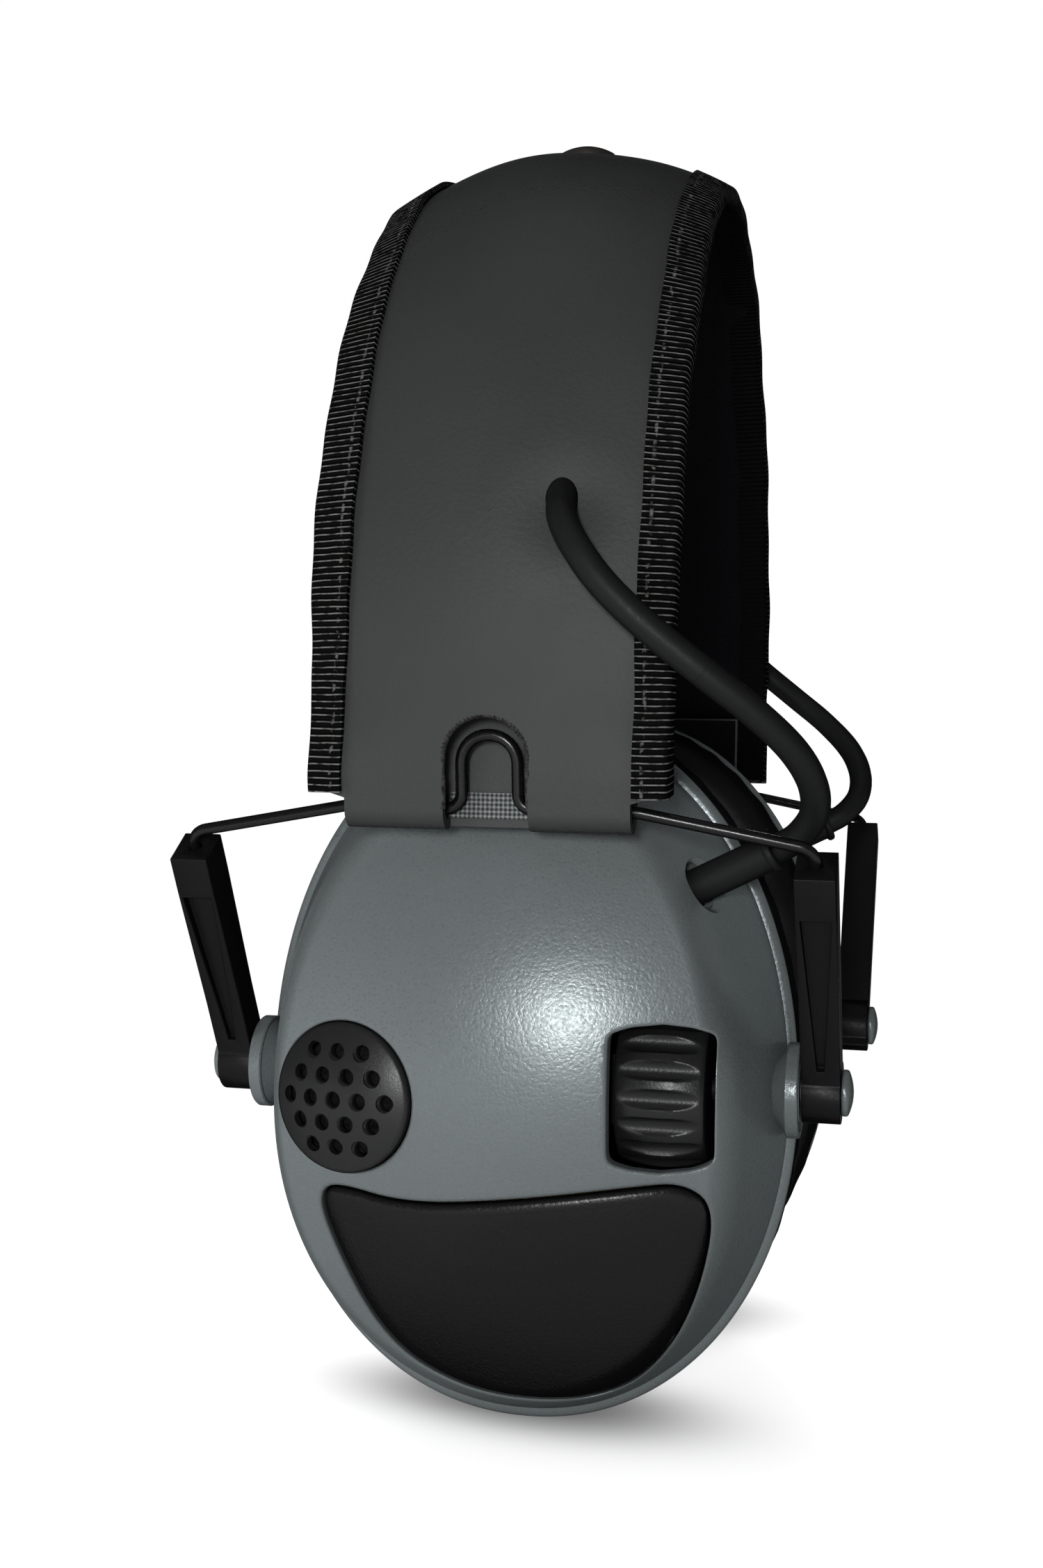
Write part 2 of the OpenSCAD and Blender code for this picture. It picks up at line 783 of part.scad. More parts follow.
module pins() color("#6b7474") {
    for (side = [0, 1]) mirror([side, 0, 0]) {
        from = lug_x - pin_in;
        to = arm_x + arm_w / 2 + 0.1;
        bar_x([(from + to) / 2, pivot_y, pivot_z], pin_d, to - from);
        translate([to, pivot_y, pivot_z]) rotate([0, 90, 0]) rotate_extrude() intersection() {
            translate([0, pin_head_t - 8]) circle(r = 8);
            square([pin_head_d / 2, 2 * pin_head_t]);
        }
    }
}

module pivot_pins_left() {
    pins();
}

module pivot_pins_right() {
    mirrored_right() pins();
}

module base_plate() color("#1a1b1c") {
    difference() {
        egg_plate(2.2, -rim_y, base_y);
        egg_plate(opening_inset, -far, 0);
        at_screws() {
            mirror([0, 0, 1]) translate([0, 0, -1]) cylinder(d = screw_d + 0.3, h = far);
            mirror([0, 0, 1]) translate([0, 0, base_t - 1.3]) cylinder(d = 2 * screw_d, h = far);
        }
    }
}

module base_plate_left() {
    base_plate();
}

module base_plate_right() {
    mirrored_right() base_plate();
}

module screws() color("#9a9ea2") {
    at_screws() {
        translate([0, 0, -base_t + 1.3]) cylinder(d = screw_d, h = base_t + 3);
        translate([0, 0, -base_t + 0.1]) difference() {
            cylinder(d = 2 * screw_d - 0.4, h = 1.2);
            for (a = [0, 90]) rotate([0, 0, a]) cube([screw_d, 0.5, 1.2], center = true);
        }
    }
}

module base_screws_left() {
    screws();
}

module base_screws_right() {
    mirrored_right() screws();
}

// Cross-section of the cushion: inset from the rim and height above the plate
cushion_profile = [
    [0.12, 0], [0.03, 0.16], [0, 0.36], [0.02, 0.58], [0.09, 0.79], [0.21, 0.94], [0.36, 1.02],
    [0.64, 1.02], [0.79, 0.94], [0.91, 0.79], [0.98, 0.58], [1, 0.36], [0.97, 0.16], [0.88, 0]
];

cushion_steps = 48;
function cushion_at(k, j) = (k % cushion_steps) * len(cushion_profile) + j % len(cushion_profile);

// Padded ring, cut flat where it meets the head
module cushion() color("#18191a") {
    ks = [0:cushion_steps - 1];
    js = [0:len(cushion_profile) - 1];
    points = [for (k = ks, c = cushion_profile)
        let (p = egg_inset(360 * k / cushion_steps, c.x * cushion_w))
            [p.x, base_y + c.y * cushion_t, p.y]];
    intersection() {
        polyhedron(points, concat(
            [for (k = ks, j = js) [cushion_at(k, j), cushion_at(k, j + 1), cushion_at(k + 1, j + 1)]],
            [for (k = ks, j = js) [cushion_at(k, j), cushion_at(k + 1, j + 1), cushion_at(k + 1, j)]]
        ));
        translate([-cup_w, base_y - 1, -cup_h]) cube([2 * cup_w, cushion_t + 1, 3 * cup_h]);
    }
}

module ear_cushion_left() {
    cushion();
}

module ear_cushion_right() {
    mirrored_right() cushion();
}

module ear_foam() color("#232425") {
    egg_plate(opening_inset + 0.2, -rim_y, -rim_y + foam_t);
}

module ear_foam_left() {
    ear_foam();
}

module ear_foam_right() {
    mirrored_right() ear_foam();
}

module baffle() color("#2b2c2e") {
    difference() {
        egg_plate(cup_wall + 2.8, -rim_y - baffle_t, -rim_y);
        translate([0, 1, driver_z]) rotate([90, 0, 0]) cylinder(d = driver_d - 3, h = far);
        at_screws() cylinder(d = screw_d + 3, h = 2 * baffle_t, center = true);
    }
}

module baffle_left() color("#2b2c2e") {
    baffle();
    for (side = [-1, 1])
        translate([side * post_x, -rim_y - baffle_t, board_low + board_size.y - 5]) rotate([90, 0, 0])
            cylinder(d = 5, h = -board_y - rim_y - baffle_t);
}

module baffle_right() {
    mirrored_right() baffle();
}

module driver() color("#55585b") {
    back = rim_y + baffle_t;
    translate([0, -back, driver_z]) rotate([90, 0, 0]) {
        cylinder(d = driver_d, h = 1.6);
        cylinder(d = driver_d * 0.6, h = driver_depth);
    }
}

module driver_left() {
    driver();
}

module driver_right() {
    mirrored_right() driver();
}

// Domed grille with a skirt that goes into the shell
module grille() color("#1d1f20") {
    r = grille_d / 2;
    ball = (r ^ 2 + grille_rise ^ 2) / (2 * grille_rise);
    edge = 1.1;
    at_grille() difference() {
        rotate_extrude() {
            intersection() {
                difference() {
                    translate([0, edge + grille_rise - ball]) circle(r = ball, $fn = 180);
                    translate([0, edge + grille_rise - ball]) circle(r = ball - 1.2, $fn = 180);
                }
                square([r, 2 * edge + grille_rise]);
            }
            translate([skirt_r - 1.2, -skirt_len]) square([1.2, skirt_len + edge]);
            translate([skirt_r - 1.2, 0]) square([r - skirt_r + 1.2, edge]);
        }
        for (row = [-2:2]) {
            count = 5 - abs(row);
            for (i = [0:count - 1])
                translate([(i - (count - 1) / 2) * grille_pitch, row * grille_pitch * sin(60), -1])
                    cylinder(d = grille_hole_d, h = 10);
        }
    }
}

module mic_grille_left() {
    grille();
}

module mic_grille_right() {
    mirrored_right() grille();
}

module mic_pad() color("#0c0c0d") {
    at_grille() translate([0, 0, -skirt_len]) difference() {
        cylinder(r = skirt_r - 1.3, h = skirt_len + 0.6);
        translate([0, 0, -1]) cylinder(d = capsule_d + 0.1, h = capsule_len);
    }
}

module mic_foam_left() {
    mic_pad();
}

module mic_foam_right() {
    mirrored_right() mic_pad();
}

module capsule() color("#b9bcc0") {
    at_grille() translate([0, 0, -skirt_len - 1]) cylinder(d = capsule_d, h = capsule_len);
}

module mic_capsule_left() {
    capsule();
}

module mic_capsule_right() {
    mirrored_right() capsule();
}

module boot() color("#1c1d1e") {
    along(boot_end - boot_len * boot_dir, boot_dir) {
        cylinder(d = boot_d, h = boot_len);
        translate([0, 0, boot_len - collar_t]) cylinder(d = collar_d, h = collar_t);
    }
}

module cord_boot_left() {
    boot();
}

module cord_boot_right() {
    mirrored_right() boot();
}

module circuit_board() color("#1f5a37") {
    translate([-board_size.x / 2, board_y - board_t, board_low]) cube([board_size.x, board_t, board_size.y]);
}

// Rotary control on the board, with the shaft that carries the wheel
module volume_pot() color("#2a2c2f") {
    from = wheel_x - wheel_w / 2 - 0.5;
    translate([from - pot_w, axle_y - pot_front, window_z - pot_h / 2])
        cube([pot_w, board_y - board_t - axle_y + pot_front, pot_h]);
    bar_x([from + (wheel_w + 1) / 2, axle_y, window_z], axle_d, wheel_w + 1);
}

// Barrel wheel; each flute is a straight groove that runs out on the barrel
module volume_wheel() color("#101112") {
    barrel_r = 18;
    r = wheel_d / 2;
    translate([wheel_x, axle_y, window_z]) rotate([0, 90, 0]) difference() {
        rotate_extrude() intersection() {
            translate([r - barrel_r, 0]) circle(r = barrel_r, $fn = 180);
            translate([0, -wheel_w / 2]) square([r, wheel_w]);
        }
        cylinder(d = axle_d + 0.1, h = 2 * wheel_w, center = true);
        for (i = [0:flutes - 1]) rotate([0, 0, 360 * i / flutes])
            translate([r + 0.65, 0, 0]) cylinder(r = 1.6, h = 2 * wheel_w, center = true);
    }
}

module battery_tray() color("#202224") {
    inner = [cell_len + 2 * contact_t + 0.2, cell_d * 0.9, cell_d + cell_pitch + 0.2];
    outer = [inner.x + 2 * tray_wall, inner.y + 1.5, inner.z + 2 * tray_wall];
    mid_z = cell_low_z + cell_pitch / 2;
    translate([0, tray_back, mid_z]) difference() {
        translate([-outer.x / 2, -outer.y, -outer.z / 2]) cube(outer);
        translate([-inner.x / 2, -outer.y - 1, -inner.z / 2]) cube([inner.x, inner.y + 1, inner.z]);
    }
}

module battery_cells() color("#b8924a") {
    for (i = [0, 1]) {
        bar_x([0, cell_y, cell_low_z + i * cell_pitch], cell_d, cell_len);
    }
}

module battery_contacts() color("#c9ccd0") {
    for (i = [0, 1], side = [-1, 1])
        translate([side * (cell_len / 2 + contact_t / 2 + 0.05), cell_y, cell_low_z + i * cell_pitch])
            cube([contact_t, contact_w, contact_h], center = true);
}

module battery_door() {
    panel();
}

module cup_panel_right() {
    mirrored_right() panel();
}

headband_cover();
headband_pad();
band_spring();
edge_binding_front();
edge_binding_rear();
crown_rivet();
link_cord_left();
link_cord_right();
yoke_wire_left();
arm_front_left();
arm_rear_left();
cup_shell_left();
pivot_pins_left();
base_plate_left();
base_screws_left();
ear_cushion_left();
ear_foam_left();
baffle_left();
driver_left();
mic_grille_left();
mic_foam_left();
mic_capsule_left();
cord_boot_left();
circuit_board();
volume_pot();
battery_tray();
battery_cells();
battery_contacts();
volume_wheel();
battery_door();
yoke_wire_right();
arm_front_right();
arm_rear_right();
cup_shell_right();
pivot_pins_right();
base_plate_right();
base_screws_right();
ear_cushion_right();
ear_foam_right();
baffle_right();
driver_right();
mic_grille_right();
mic_foam_right();
mic_capsule_right();
cord_boot_right();
cup_panel_right();
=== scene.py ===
# %% [markdown]
# # An earmuff hearing protector
# The headset has a wide leather band with sewn edges, two wire yokes with plastic arms, and two deep cups.
# The solid model gives every place and size, so this lesson starts by loading it as a fixed frame.

# %% The frame
import json
import math

import bmesh
import bpy
import numpy as np
from mathutils import Matrix

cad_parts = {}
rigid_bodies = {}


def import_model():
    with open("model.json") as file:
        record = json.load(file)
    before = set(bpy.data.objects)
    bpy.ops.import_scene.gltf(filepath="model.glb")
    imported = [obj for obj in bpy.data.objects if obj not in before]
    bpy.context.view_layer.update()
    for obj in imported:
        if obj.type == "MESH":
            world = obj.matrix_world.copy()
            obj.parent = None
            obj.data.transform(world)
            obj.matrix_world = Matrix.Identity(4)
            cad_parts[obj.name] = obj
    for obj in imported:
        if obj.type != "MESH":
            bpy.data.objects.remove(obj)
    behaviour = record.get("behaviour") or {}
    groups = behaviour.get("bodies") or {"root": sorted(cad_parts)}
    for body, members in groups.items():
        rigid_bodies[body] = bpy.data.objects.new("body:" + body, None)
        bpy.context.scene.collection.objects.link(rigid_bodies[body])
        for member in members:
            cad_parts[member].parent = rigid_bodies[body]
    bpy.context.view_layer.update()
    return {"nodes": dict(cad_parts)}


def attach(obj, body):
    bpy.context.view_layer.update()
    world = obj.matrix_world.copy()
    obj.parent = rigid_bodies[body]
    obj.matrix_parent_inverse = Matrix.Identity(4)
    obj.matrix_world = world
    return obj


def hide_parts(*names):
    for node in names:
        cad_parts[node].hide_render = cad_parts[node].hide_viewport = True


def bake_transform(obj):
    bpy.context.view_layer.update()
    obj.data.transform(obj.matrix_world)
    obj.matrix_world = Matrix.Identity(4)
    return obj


MM = 0.001
for leftover in list(bpy.data.objects):
    bpy.data.objects.remove(leftover)
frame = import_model()
nodes = frame["nodes"]

# %% [markdown]
# ## Camera
# The camera stands in front of the left cup, a little to its rear and level with the sleeves.
# Its place and lens were fitted to the object's main points, so it needs no shift, only a slight roll.

# %% Camera
camera_at = np.array([65.5, -327.5, 103.8])
look = np.array([-0.2231, 0.9745, -0.0227])
camera_roll = 0.0182
focal_mm = 45.47


def unit(v):
    """A vector or an array of vectors, each divided by its length."""
    return v / np.linalg.norm(v, axis=-1, keepdims=True)


look = unit(look)
level = unit(np.cross(look, [0.0, 0.0, 1.0]))
upward = np.cross(level, look)
side_axis = math.cos(camera_roll) * level + math.sin(camera_roll) * upward
up_axis = np.cross(side_axis, look)
camera_data = bpy.data.cameras.new("camera")
camera_data.lens = focal_mm
camera = bpy.data.objects.new("camera", camera_data)
bpy.context.scene.collection.objects.link(camera)
camera_turn = np.eye(4)
camera_turn[:3, :4] = np.stack([side_axis, up_axis, -look, camera_at * MM], axis=1)
camera.matrix_world = Matrix(camera_turn.tolist())
bpy.context.scene.camera = camera
print("camera at", np.round(camera_at), "mm, lens", focal_mm, "mm")

# %% [markdown]
# ## Meshes from grids
# Nearly every piece here is a grid of points: rings of equal count, one after another along a path or
# a profile. One helper turns such rings into a mesh, and another shades it smooth up to a chosen angle.

# %% Mesh helpers
def grid_faces(rows, columns, wrap_columns=True):
    """Quads between neighbours of a grid whose points are numbered row by row."""
    i, j = np.meshgrid(
        np.arange(rows - 1),
        np.arange(columns if wrap_columns else columns - 1),
        indexing="ij",
    )
    k = (j + 1) % columns
    corners = [i * columns + j, i * columns + k, (i + 1) * columns + k, (i + 1) * columns + j]
    return np.stack(corners, axis=-1).reshape(-1, 4)


def piece_from(name, points, faces, smooth_angle=35.0):
    """An object from points in millimetres, with outward faces, smooth up to an angle in degrees."""
    mesh = bpy.data.meshes.new(name)
    mesh.from_pydata((np.asarray(points) * MM).tolist(), [], faces)
    work = bmesh.new()
    work.from_mesh(mesh)
    bmesh.ops.recalc_face_normals(work, faces=work.faces)
    work.to_mesh(mesh)
    work.free()
    smooth_up_to(mesh, smooth_angle)
    piece = bpy.data.objects.new(name, mesh)
    bpy.context.scene.collection.objects.link(piece)
    return piece


def smooth_up_to(mesh, angle):
    """Shades a mesh smooth and keeps the edges that turn by more than the angle sharp."""
    mesh.polygons.foreach_set("use_smooth", np.ones(len(mesh.polygons), bool))
    mesh.set_sharp_from_angle(angle=math.radians(angle))


def loft(name, rings, smooth_angle=35.0):
    """A closed body through rings of shape (rings, points, 3), capped at its first and last ring."""
    rows, columns, _ = rings.shape
    faces = grid_faces(rows, columns).tolist()
    faces.append(list(range(columns)))
    faces.append(list(range((rows - 1) * columns, rows * columns)))
    return piece_from(name, rings.reshape(-1, 3), faces, smooth_angle)


def mark(piece, name, values):
    """Keeps one number per point on the piece, for its material to read."""
    layer = piece.data.attributes.new(name, "FLOAT", "POINT")
    layer.data.foreach_set("value", np.asarray(values, np.float32).ravel())


def mirrored(points):
    """The same points on the other side of the headset."""
    return np.asarray(points) * np.array([1.0, -1.0, 1.0])


def for_side(points, side):
    """Points of the left side as they are, or mirrored for the right side."""
    return np.asarray(points, float) if side == "left" else mirrored(points)


def to_right(piece):
    """Mirrors the mesh of a piece from the left side to the right side."""
    piece.data.transform(Matrix.Scale(-1, 4, (0, 1, 0)))
    piece.data.flip_normals()


SIDES = ("left", "right")
print("helpers ready")

# %% [markdown]
# ## Tubes
# A cord and a bent wire are both a circle carried along a path. The circle needs a frame that doesn't
# twist, and a fixed direction that the path never follows gives one.

# %% Tubes
def tube(name, path, radius, guide=(0.13, 0.61, 0.78), sides=20, smooth_angle=50.0):
    """A circle of one radius, or of one radius per point, carried along the path.

    Each ring lies square to the path: its axes are tangent x guide and the cross of that with the tangent.
    """
    path = np.asarray(path, float)
    tangent = unit(np.gradient(path, axis=0))
    first = unit(np.cross(tangent, np.asarray(guide)))
    second = np.cross(tangent, first)
    turn = np.linspace(0.0, 2.0 * math.pi, sides, endpoint=False)
    radii = np.broadcast_to(np.asarray(radius, float), (len(path),))[:, None, None]
    around = np.cos(turn)[None, :, None] * first[:, None, :] + np.sin(turn)[None, :, None] * second[:, None, :]
    return loft(name, path[:, None, :] + radii * around, smooth_angle)


def curve_through(points, steps):
    """A smooth curve through points, by the cubic of Catmull and Rom in each gap."""
    p = np.asarray(points, float)
    p = np.vstack([2 * p[0] - p[1], p, 2 * p[-1] - p[-2]])
    t = np.linspace(0.0, 1.0, steps, endpoint=False)[None, :, None]
    a, b, c, d = (p[k:len(p) - 3 + k, None, :] for k in range(4))
    inner = 0.5 * (2 * b + (c - a) * t + (2 * a - 5 * b + 4 * c - d) * t**2 + (3 * b - a - 3 * c + d) * t**3)
    return np.vstack([inner.reshape(-1, 3), p[-2]])


def turned(profile, origin, axis, steps=72):
    """Rings from a profile of (radius, height) turned about an axis that starts at the origin."""
    axis = unit(np.asarray(axis, float))
    first = unit(np.cross(axis, [0.31, 0.47, 0.83]))
    second = np.cross(axis, first)
    turn = np.linspace(0, 2 * math.pi, steps, endpoint=False)[:, None]
    around = np.cos(turn) * first + np.sin(turn) * second
    r, h = np.asarray(profile, float).T[:, :, None, None]
    return np.asarray(origin, float) + r * around + h * axis


def path_length(path):
    """Length of a path in the units of its points."""
    return float(np.linalg.norm(np.diff(path, axis=0), axis=1).sum())


print("tubes ready")

# %% [markdown]
# ## Link cords
# A rubber lead leaves each side of the band, hangs in an open bow and goes into its cup. Each lead is made
# in two lengths that meet end to end.

# %% Link cords
cord_d = 4.2
cord_route = np.array([
    [9, -57.5, 139], [9.4, -61, 136.8], [10.4, -65, 133.6], [13, -67.8, 129.4], [17, -69, 124.4],
    [23, -68.8, 118.8], [30, -67.4, 113.2], [36.6, -64.6, 108], [41.6, -60.6, 103],
    [44, -56.4, 98.4], [44, -52.6, 94.2], [41.6, -50, 90.9], [38.6, -49, 89],
])
cord_steps, middle_point = 14, 6
cord_line = curve_through(cord_route, cord_steps)
cord_cut = middle_point * cord_steps
cord_halves = {"upper": cord_line[:cord_cut + 1], "lower": cord_line[cord_cut:]}
cord_spans = {"upper": ("headband", "yoke"), "lower": ("yoke", "arms")}
cords = []
for side in SIDES:
    for part, line in cord_halves.items():
        line = for_side(line, side)
        piece = tube(f"link_cord_{part}_{side}", line, cord_d / 2)
        first, second = cord_spans[part]
        second = f"{second}_{side}"
        first = first if first == "headband" else f"{first}_{side}"
        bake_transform(piece)
        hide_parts(f"link_cord_{side}")
        cords.append(piece)
print("cord lengths:", [round(path_length(line), 1) for line in cord_halves.values()], "mm")

# %% [markdown]
# ## The cup as a formula
# The moulded cup is an egg seen from outside. A steep flank rises inside that outline, and a gently domed
# face cuts it off; a soft minimum of the two heights rolls one into the other, as the mould does.

# %% Cup formula
half_w, waist_z, top_h, foot_h = 41.0, 51.0, 57.0, 51.0
rim_y, cup_d, cup_wall = 31.5, 31.5, 2.4
face_rx, face_rz, peak_z = 86.0, 62.0, 56.0
flank_rise, crease = 135.0, 6.0
bead_h, bead_out = 2.4, 1.3
egg_n = 2.1
bead_q = 1 - bead_out / half_w
cavity_q = bead_q - (cup_wall - bead_h / flank_rise * half_w) / half_w


def signed_power(v, e):
    """|v| to a power, with the sign of v."""
    return np.sign(v) * np.abs(v) ** e


def egg(angle, inset=0.0, q=1.0):
    """Points (x, z) of the egg outline, moved inwards by an inset or shrunk to the share q."""
    s = np.sin(angle)
    reach = np.where(s > 0, top_h, foot_h) - inset
    x = q * (half_w - inset) * signed_power(np.cos(angle), 2 / egg_n)
    return x, waist_z + q * reach * signed_power(s, 2 / egg_n)


def egg_q(x, z):
    """How far out a point is: 0 at the middle of the egg and 1 on its outline."""
    reach = np.where(z > waist_z, top_h, foot_h)
    return (np.abs(x / half_w) ** egg_n + np.abs((z - waist_z) / reach) ** egg_n) ** (1 / egg_n)


def soft_min(a, b, softness):
    """The lesser of two heights, rounded where they are within the softness of each other."""
    h = np.maximum(softness - np.abs(a - b), 0) / softness
    return np.minimum(a, b) - h * h * softness / 4


def face_rise(x, z):
    """Height of the domed face over the plane of the rim."""
    return cup_d - x**2 / (2 * face_rx) - (z - peak_z) ** 2 / (2 * face_rz)


def shell_y(x, z, lift=0.0):
    """Place of the outer surface of the left cup, with an extra lift outwards."""
    flank = bead_h + (bead_q - egg_q(x, z)) * flank_rise
    return -rim_y - soft_min(flank, face_rise(x, z), crease) - lift


def on_face(loop, lift=0.0):
    """Points of an outline (x, z) laid on the left cup, with an extra lift outwards."""
    return np.stack([loop[:, 0], shell_y(loop[:, 0], loop[:, 1], lift), loop[:, 1]], axis=-1)


def cavity_y(x, z):
    """Place of the inner surface of the left cup."""
    flank = (cavity_q - egg_q(x, z)) * flank_rise
    return -rim_y - soft_min(flank, face_rise(x, z) - cup_wall, crease)


print("crown of the left cup at y", round(float(shell_y(0.0, peak_z)), 2))

# %% [markdown]
# ## Cup shells
# One run of rings goes from the middle of the cavity to the rim, round the bead and up to the middle of
# the face. The openings are then cut out with shapes whose mouths flare, so that each edge is rolled.

# %% Shell surface
turns = np.linspace(0.0, 2.0 * math.pi, 288, endpoint=False)


def shell_rings():
    """Rings of the whole shell, from the middle of the cavity over the rim to the middle of the face."""
    inner_q = np.concatenate([np.linspace(0.004, 0.66, 14), np.linspace(0.68, cavity_q - 0.002, 26)])[:, None]
    x, z = egg(turns[None, :], q=inner_q)
    inner = np.stack([x, cavity_y(x, z), z], axis=-1)
    roll = np.linspace(-math.pi / 2, math.pi / 2, 13)
    bead_qs = np.concatenate([[cavity_q], bead_q + (1 - bead_q) * np.cos(roll)])[:, None]
    bead_rise = np.concatenate([[0.0], bead_h / 2 * (1 + np.sin(roll))])[:, None]
    x, z = egg(turns[None, :], q=bead_qs)
    bead = np.stack([x, -rim_y - bead_rise + 0 * x, z], axis=-1)
    outer_q = np.concatenate([np.linspace(bead_q - 0.003, 0.71, 64), np.linspace(0.7, 0.004, 40)])[:, None]
    x, z = egg(turns[None, :], q=outer_q)
    outer = np.stack([x, shell_y(x, z), z], axis=-1)
    return np.concatenate([inner, bead, outer])


shell_grid = shell_rings()
print("shell rings:", shell_grid.shape)

# %% Openings of the shell
def resampled(loop, count):
    """The same closed outline, with points at even distances."""
    closed = np.vstack([loop, loop[:1]])
    run = np.concatenate([[0.0], np.cumsum(np.linalg.norm(np.diff(closed, axis=0), axis=1))])
    at = np.linspace(0.0, run[-1], count, endpoint=False)
    return np.stack([np.interp(at, run, closed[:, k]) for k in range(2)], axis=-1)


def grown(loop, distance):
    """An outline that runs anticlockwise, moved outwards by a distance along its normals."""
    ahead = np.roll(loop, -1, axis=0) - np.roll(loop, 1, axis=0)
    return loop + distance * unit(np.stack([ahead[:, 1], -ahead[:, 0]], axis=-1))


def mouth_cutter(name, loop, lip, depth):
    """Body that cuts an opening with a rolled lip into the shell.

    Its wall follows the outline to a lip below the surface, then flares in a quarter round.
    """
    flare = np.radians(np.linspace(0.0, 75.0, 6))
    rings = [np.stack([loop[:, 0], np.full(len(loop), -rim_y - depth), loop[:, 1]], axis=-1)]
    rings += [on_face(grown(loop, lip * (1 - math.cos(a))), lip * (math.sin(a) - 1)) for a in flare]
    outside = grown(loop, lip * 2.2)
    rings += [on_face(outside, 0.5 * lip), on_face(outside, 8.0)]
    return loft(name, np.stack(rings))


def ball(name, centre, radius, rows=40):
    """A sphere as rings from pole to pole."""
    dip = np.linspace(0.01, math.pi - 0.01, rows)[:, None]
    turn = np.linspace(0, 2 * math.pi, 2 * rows, endpoint=False)[None, :]
    x, y, z = np.sin(dip) * np.cos(turn), np.sin(dip) * np.sin(turn), np.cos(dip) + 0 * turn
    return loft(name, np.asarray(centre) + radius * np.stack([x, y, z], axis=-1))


panel_w, panel_top, panel_foot, panel_x, panel_gap = 55.0, 42.4, 5.9, 3.0, 0.4
panel_lean, panel_dip = 3.0, 1.9
panel_h = panel_top - panel_foot
panel_mid = panel_foot + 0.55 * panel_h
front_share = 1 - panel_lean / panel_h
sag = panel_dip / panel_h
panel_corners = np.array([
    [-0.51, front_share - 0.045], [-0.46, front_share], [-0.27, front_share + 0.02 - 1.4 * sag],
    [0.02, front_share + 0.045 - 0.93 * sag], [0.345, 0.99], [0.445, 1.0], [0.515, 0.91],
    [0.47, 0.565], [0.375, 0.25], [0.23, 0.02], [-0.01, -0.01], [-0.2, 0.05], [-0.375, 0.24],
    [-0.496, front_share - 0.185],
])


def cut_corners(loop):
    """Each corner of an outline replaced by two points, a quarter of the way along its sides."""
    after = np.roll(loop, -1, axis=0)
    return np.stack([0.75 * loop + 0.25 * after, 0.25 * loop + 0.75 * after], axis=1).reshape(-1, 2)


panel_loop = panel_corners * [panel_w, panel_h] + [panel_x, panel_foot]
for _ in range(4):
    panel_loop = cut_corners(panel_loop)
panel_loop = resampled(panel_loop[::-1], 200)

window_w, window_h, window_x, window_z, window_arc = 14.4, 20.6, 24.4, 54.6, 18.0


def window_loop(count=160):
    """Outline of the window: a box with bowed top and foot and small corner rounds."""
    a = np.linspace(0, 2 * math.pi, 4000, endpoint=False)
    x = window_w / 2 * signed_power(np.cos(a), 2 / 20)
    bow = window_h / 2 - window_arc + np.sqrt(window_arc**2 - x**2)
    return resampled(np.stack([window_x + x, window_z + bow * signed_power(np.sin(a), 2 / 20)], axis=-1), count)


grille_d, grille_rise, grille_x, grille_z = 21.5, 2.4, 20.8, 52.5
grille_tilt = math.atan(grille_x / face_rx)
ring_turn = np.linspace(0, 2 * math.pi, 120, endpoint=False)
seat_r = grille_d / 2 + 0.15
seat_loop = np.stack([
    -grille_x + seat_r * math.cos(grille_tilt) * np.cos(ring_turn),
    grille_z + seat_r * np.sin(ring_turn),
], axis=-1)
boot_end = np.array([38.6, -49.0, 89.0])
boot_dir = unit(np.array([0.87, -0.22, 0.44]))
boot_d, scoop_r, scoop_back = 5.2, 7.3, 6.5
print("panel outline:", np.round(np.ptp(panel_loop, axis=0), 1), "mm")

# %% Cut shells with their lugs
pivot_y, pivot_z, lug_x, lug_d, lug_t = -36.0, 53.0, 41.7, 14.0, 2.0


def cut_away(piece, cutters):
    """Cuts closed bodies out of a piece, keeps the result as its mesh and drops the cutters."""
    for cutter in cutters:
        cut = piece.modifiers.new("cut", "BOOLEAN")
        cut.object = cutter
        cut.solver = "EXACT"
    shape = piece.evaluated_get(bpy.context.evaluated_depsgraph_get())
    mesh = bpy.data.meshes.new_from_object(shape)
    piece.modifiers.clear()
    piece.data = mesh
    for cutter in cutters:
        bpy.data.objects.remove(cutter)


def joined(name, pieces):
    """Several pieces as one object."""
    work = bmesh.new()
    for piece in pieces:
        work.from_mesh(piece.data)
        bpy.data.objects.remove(piece)
    mesh = bpy.data.meshes.new(name)
    work.to_mesh(mesh)
    work.free()
    result = bpy.data.objects.new(name, mesh)
    bpy.context.scene.collection.objects.link(result)
    return result


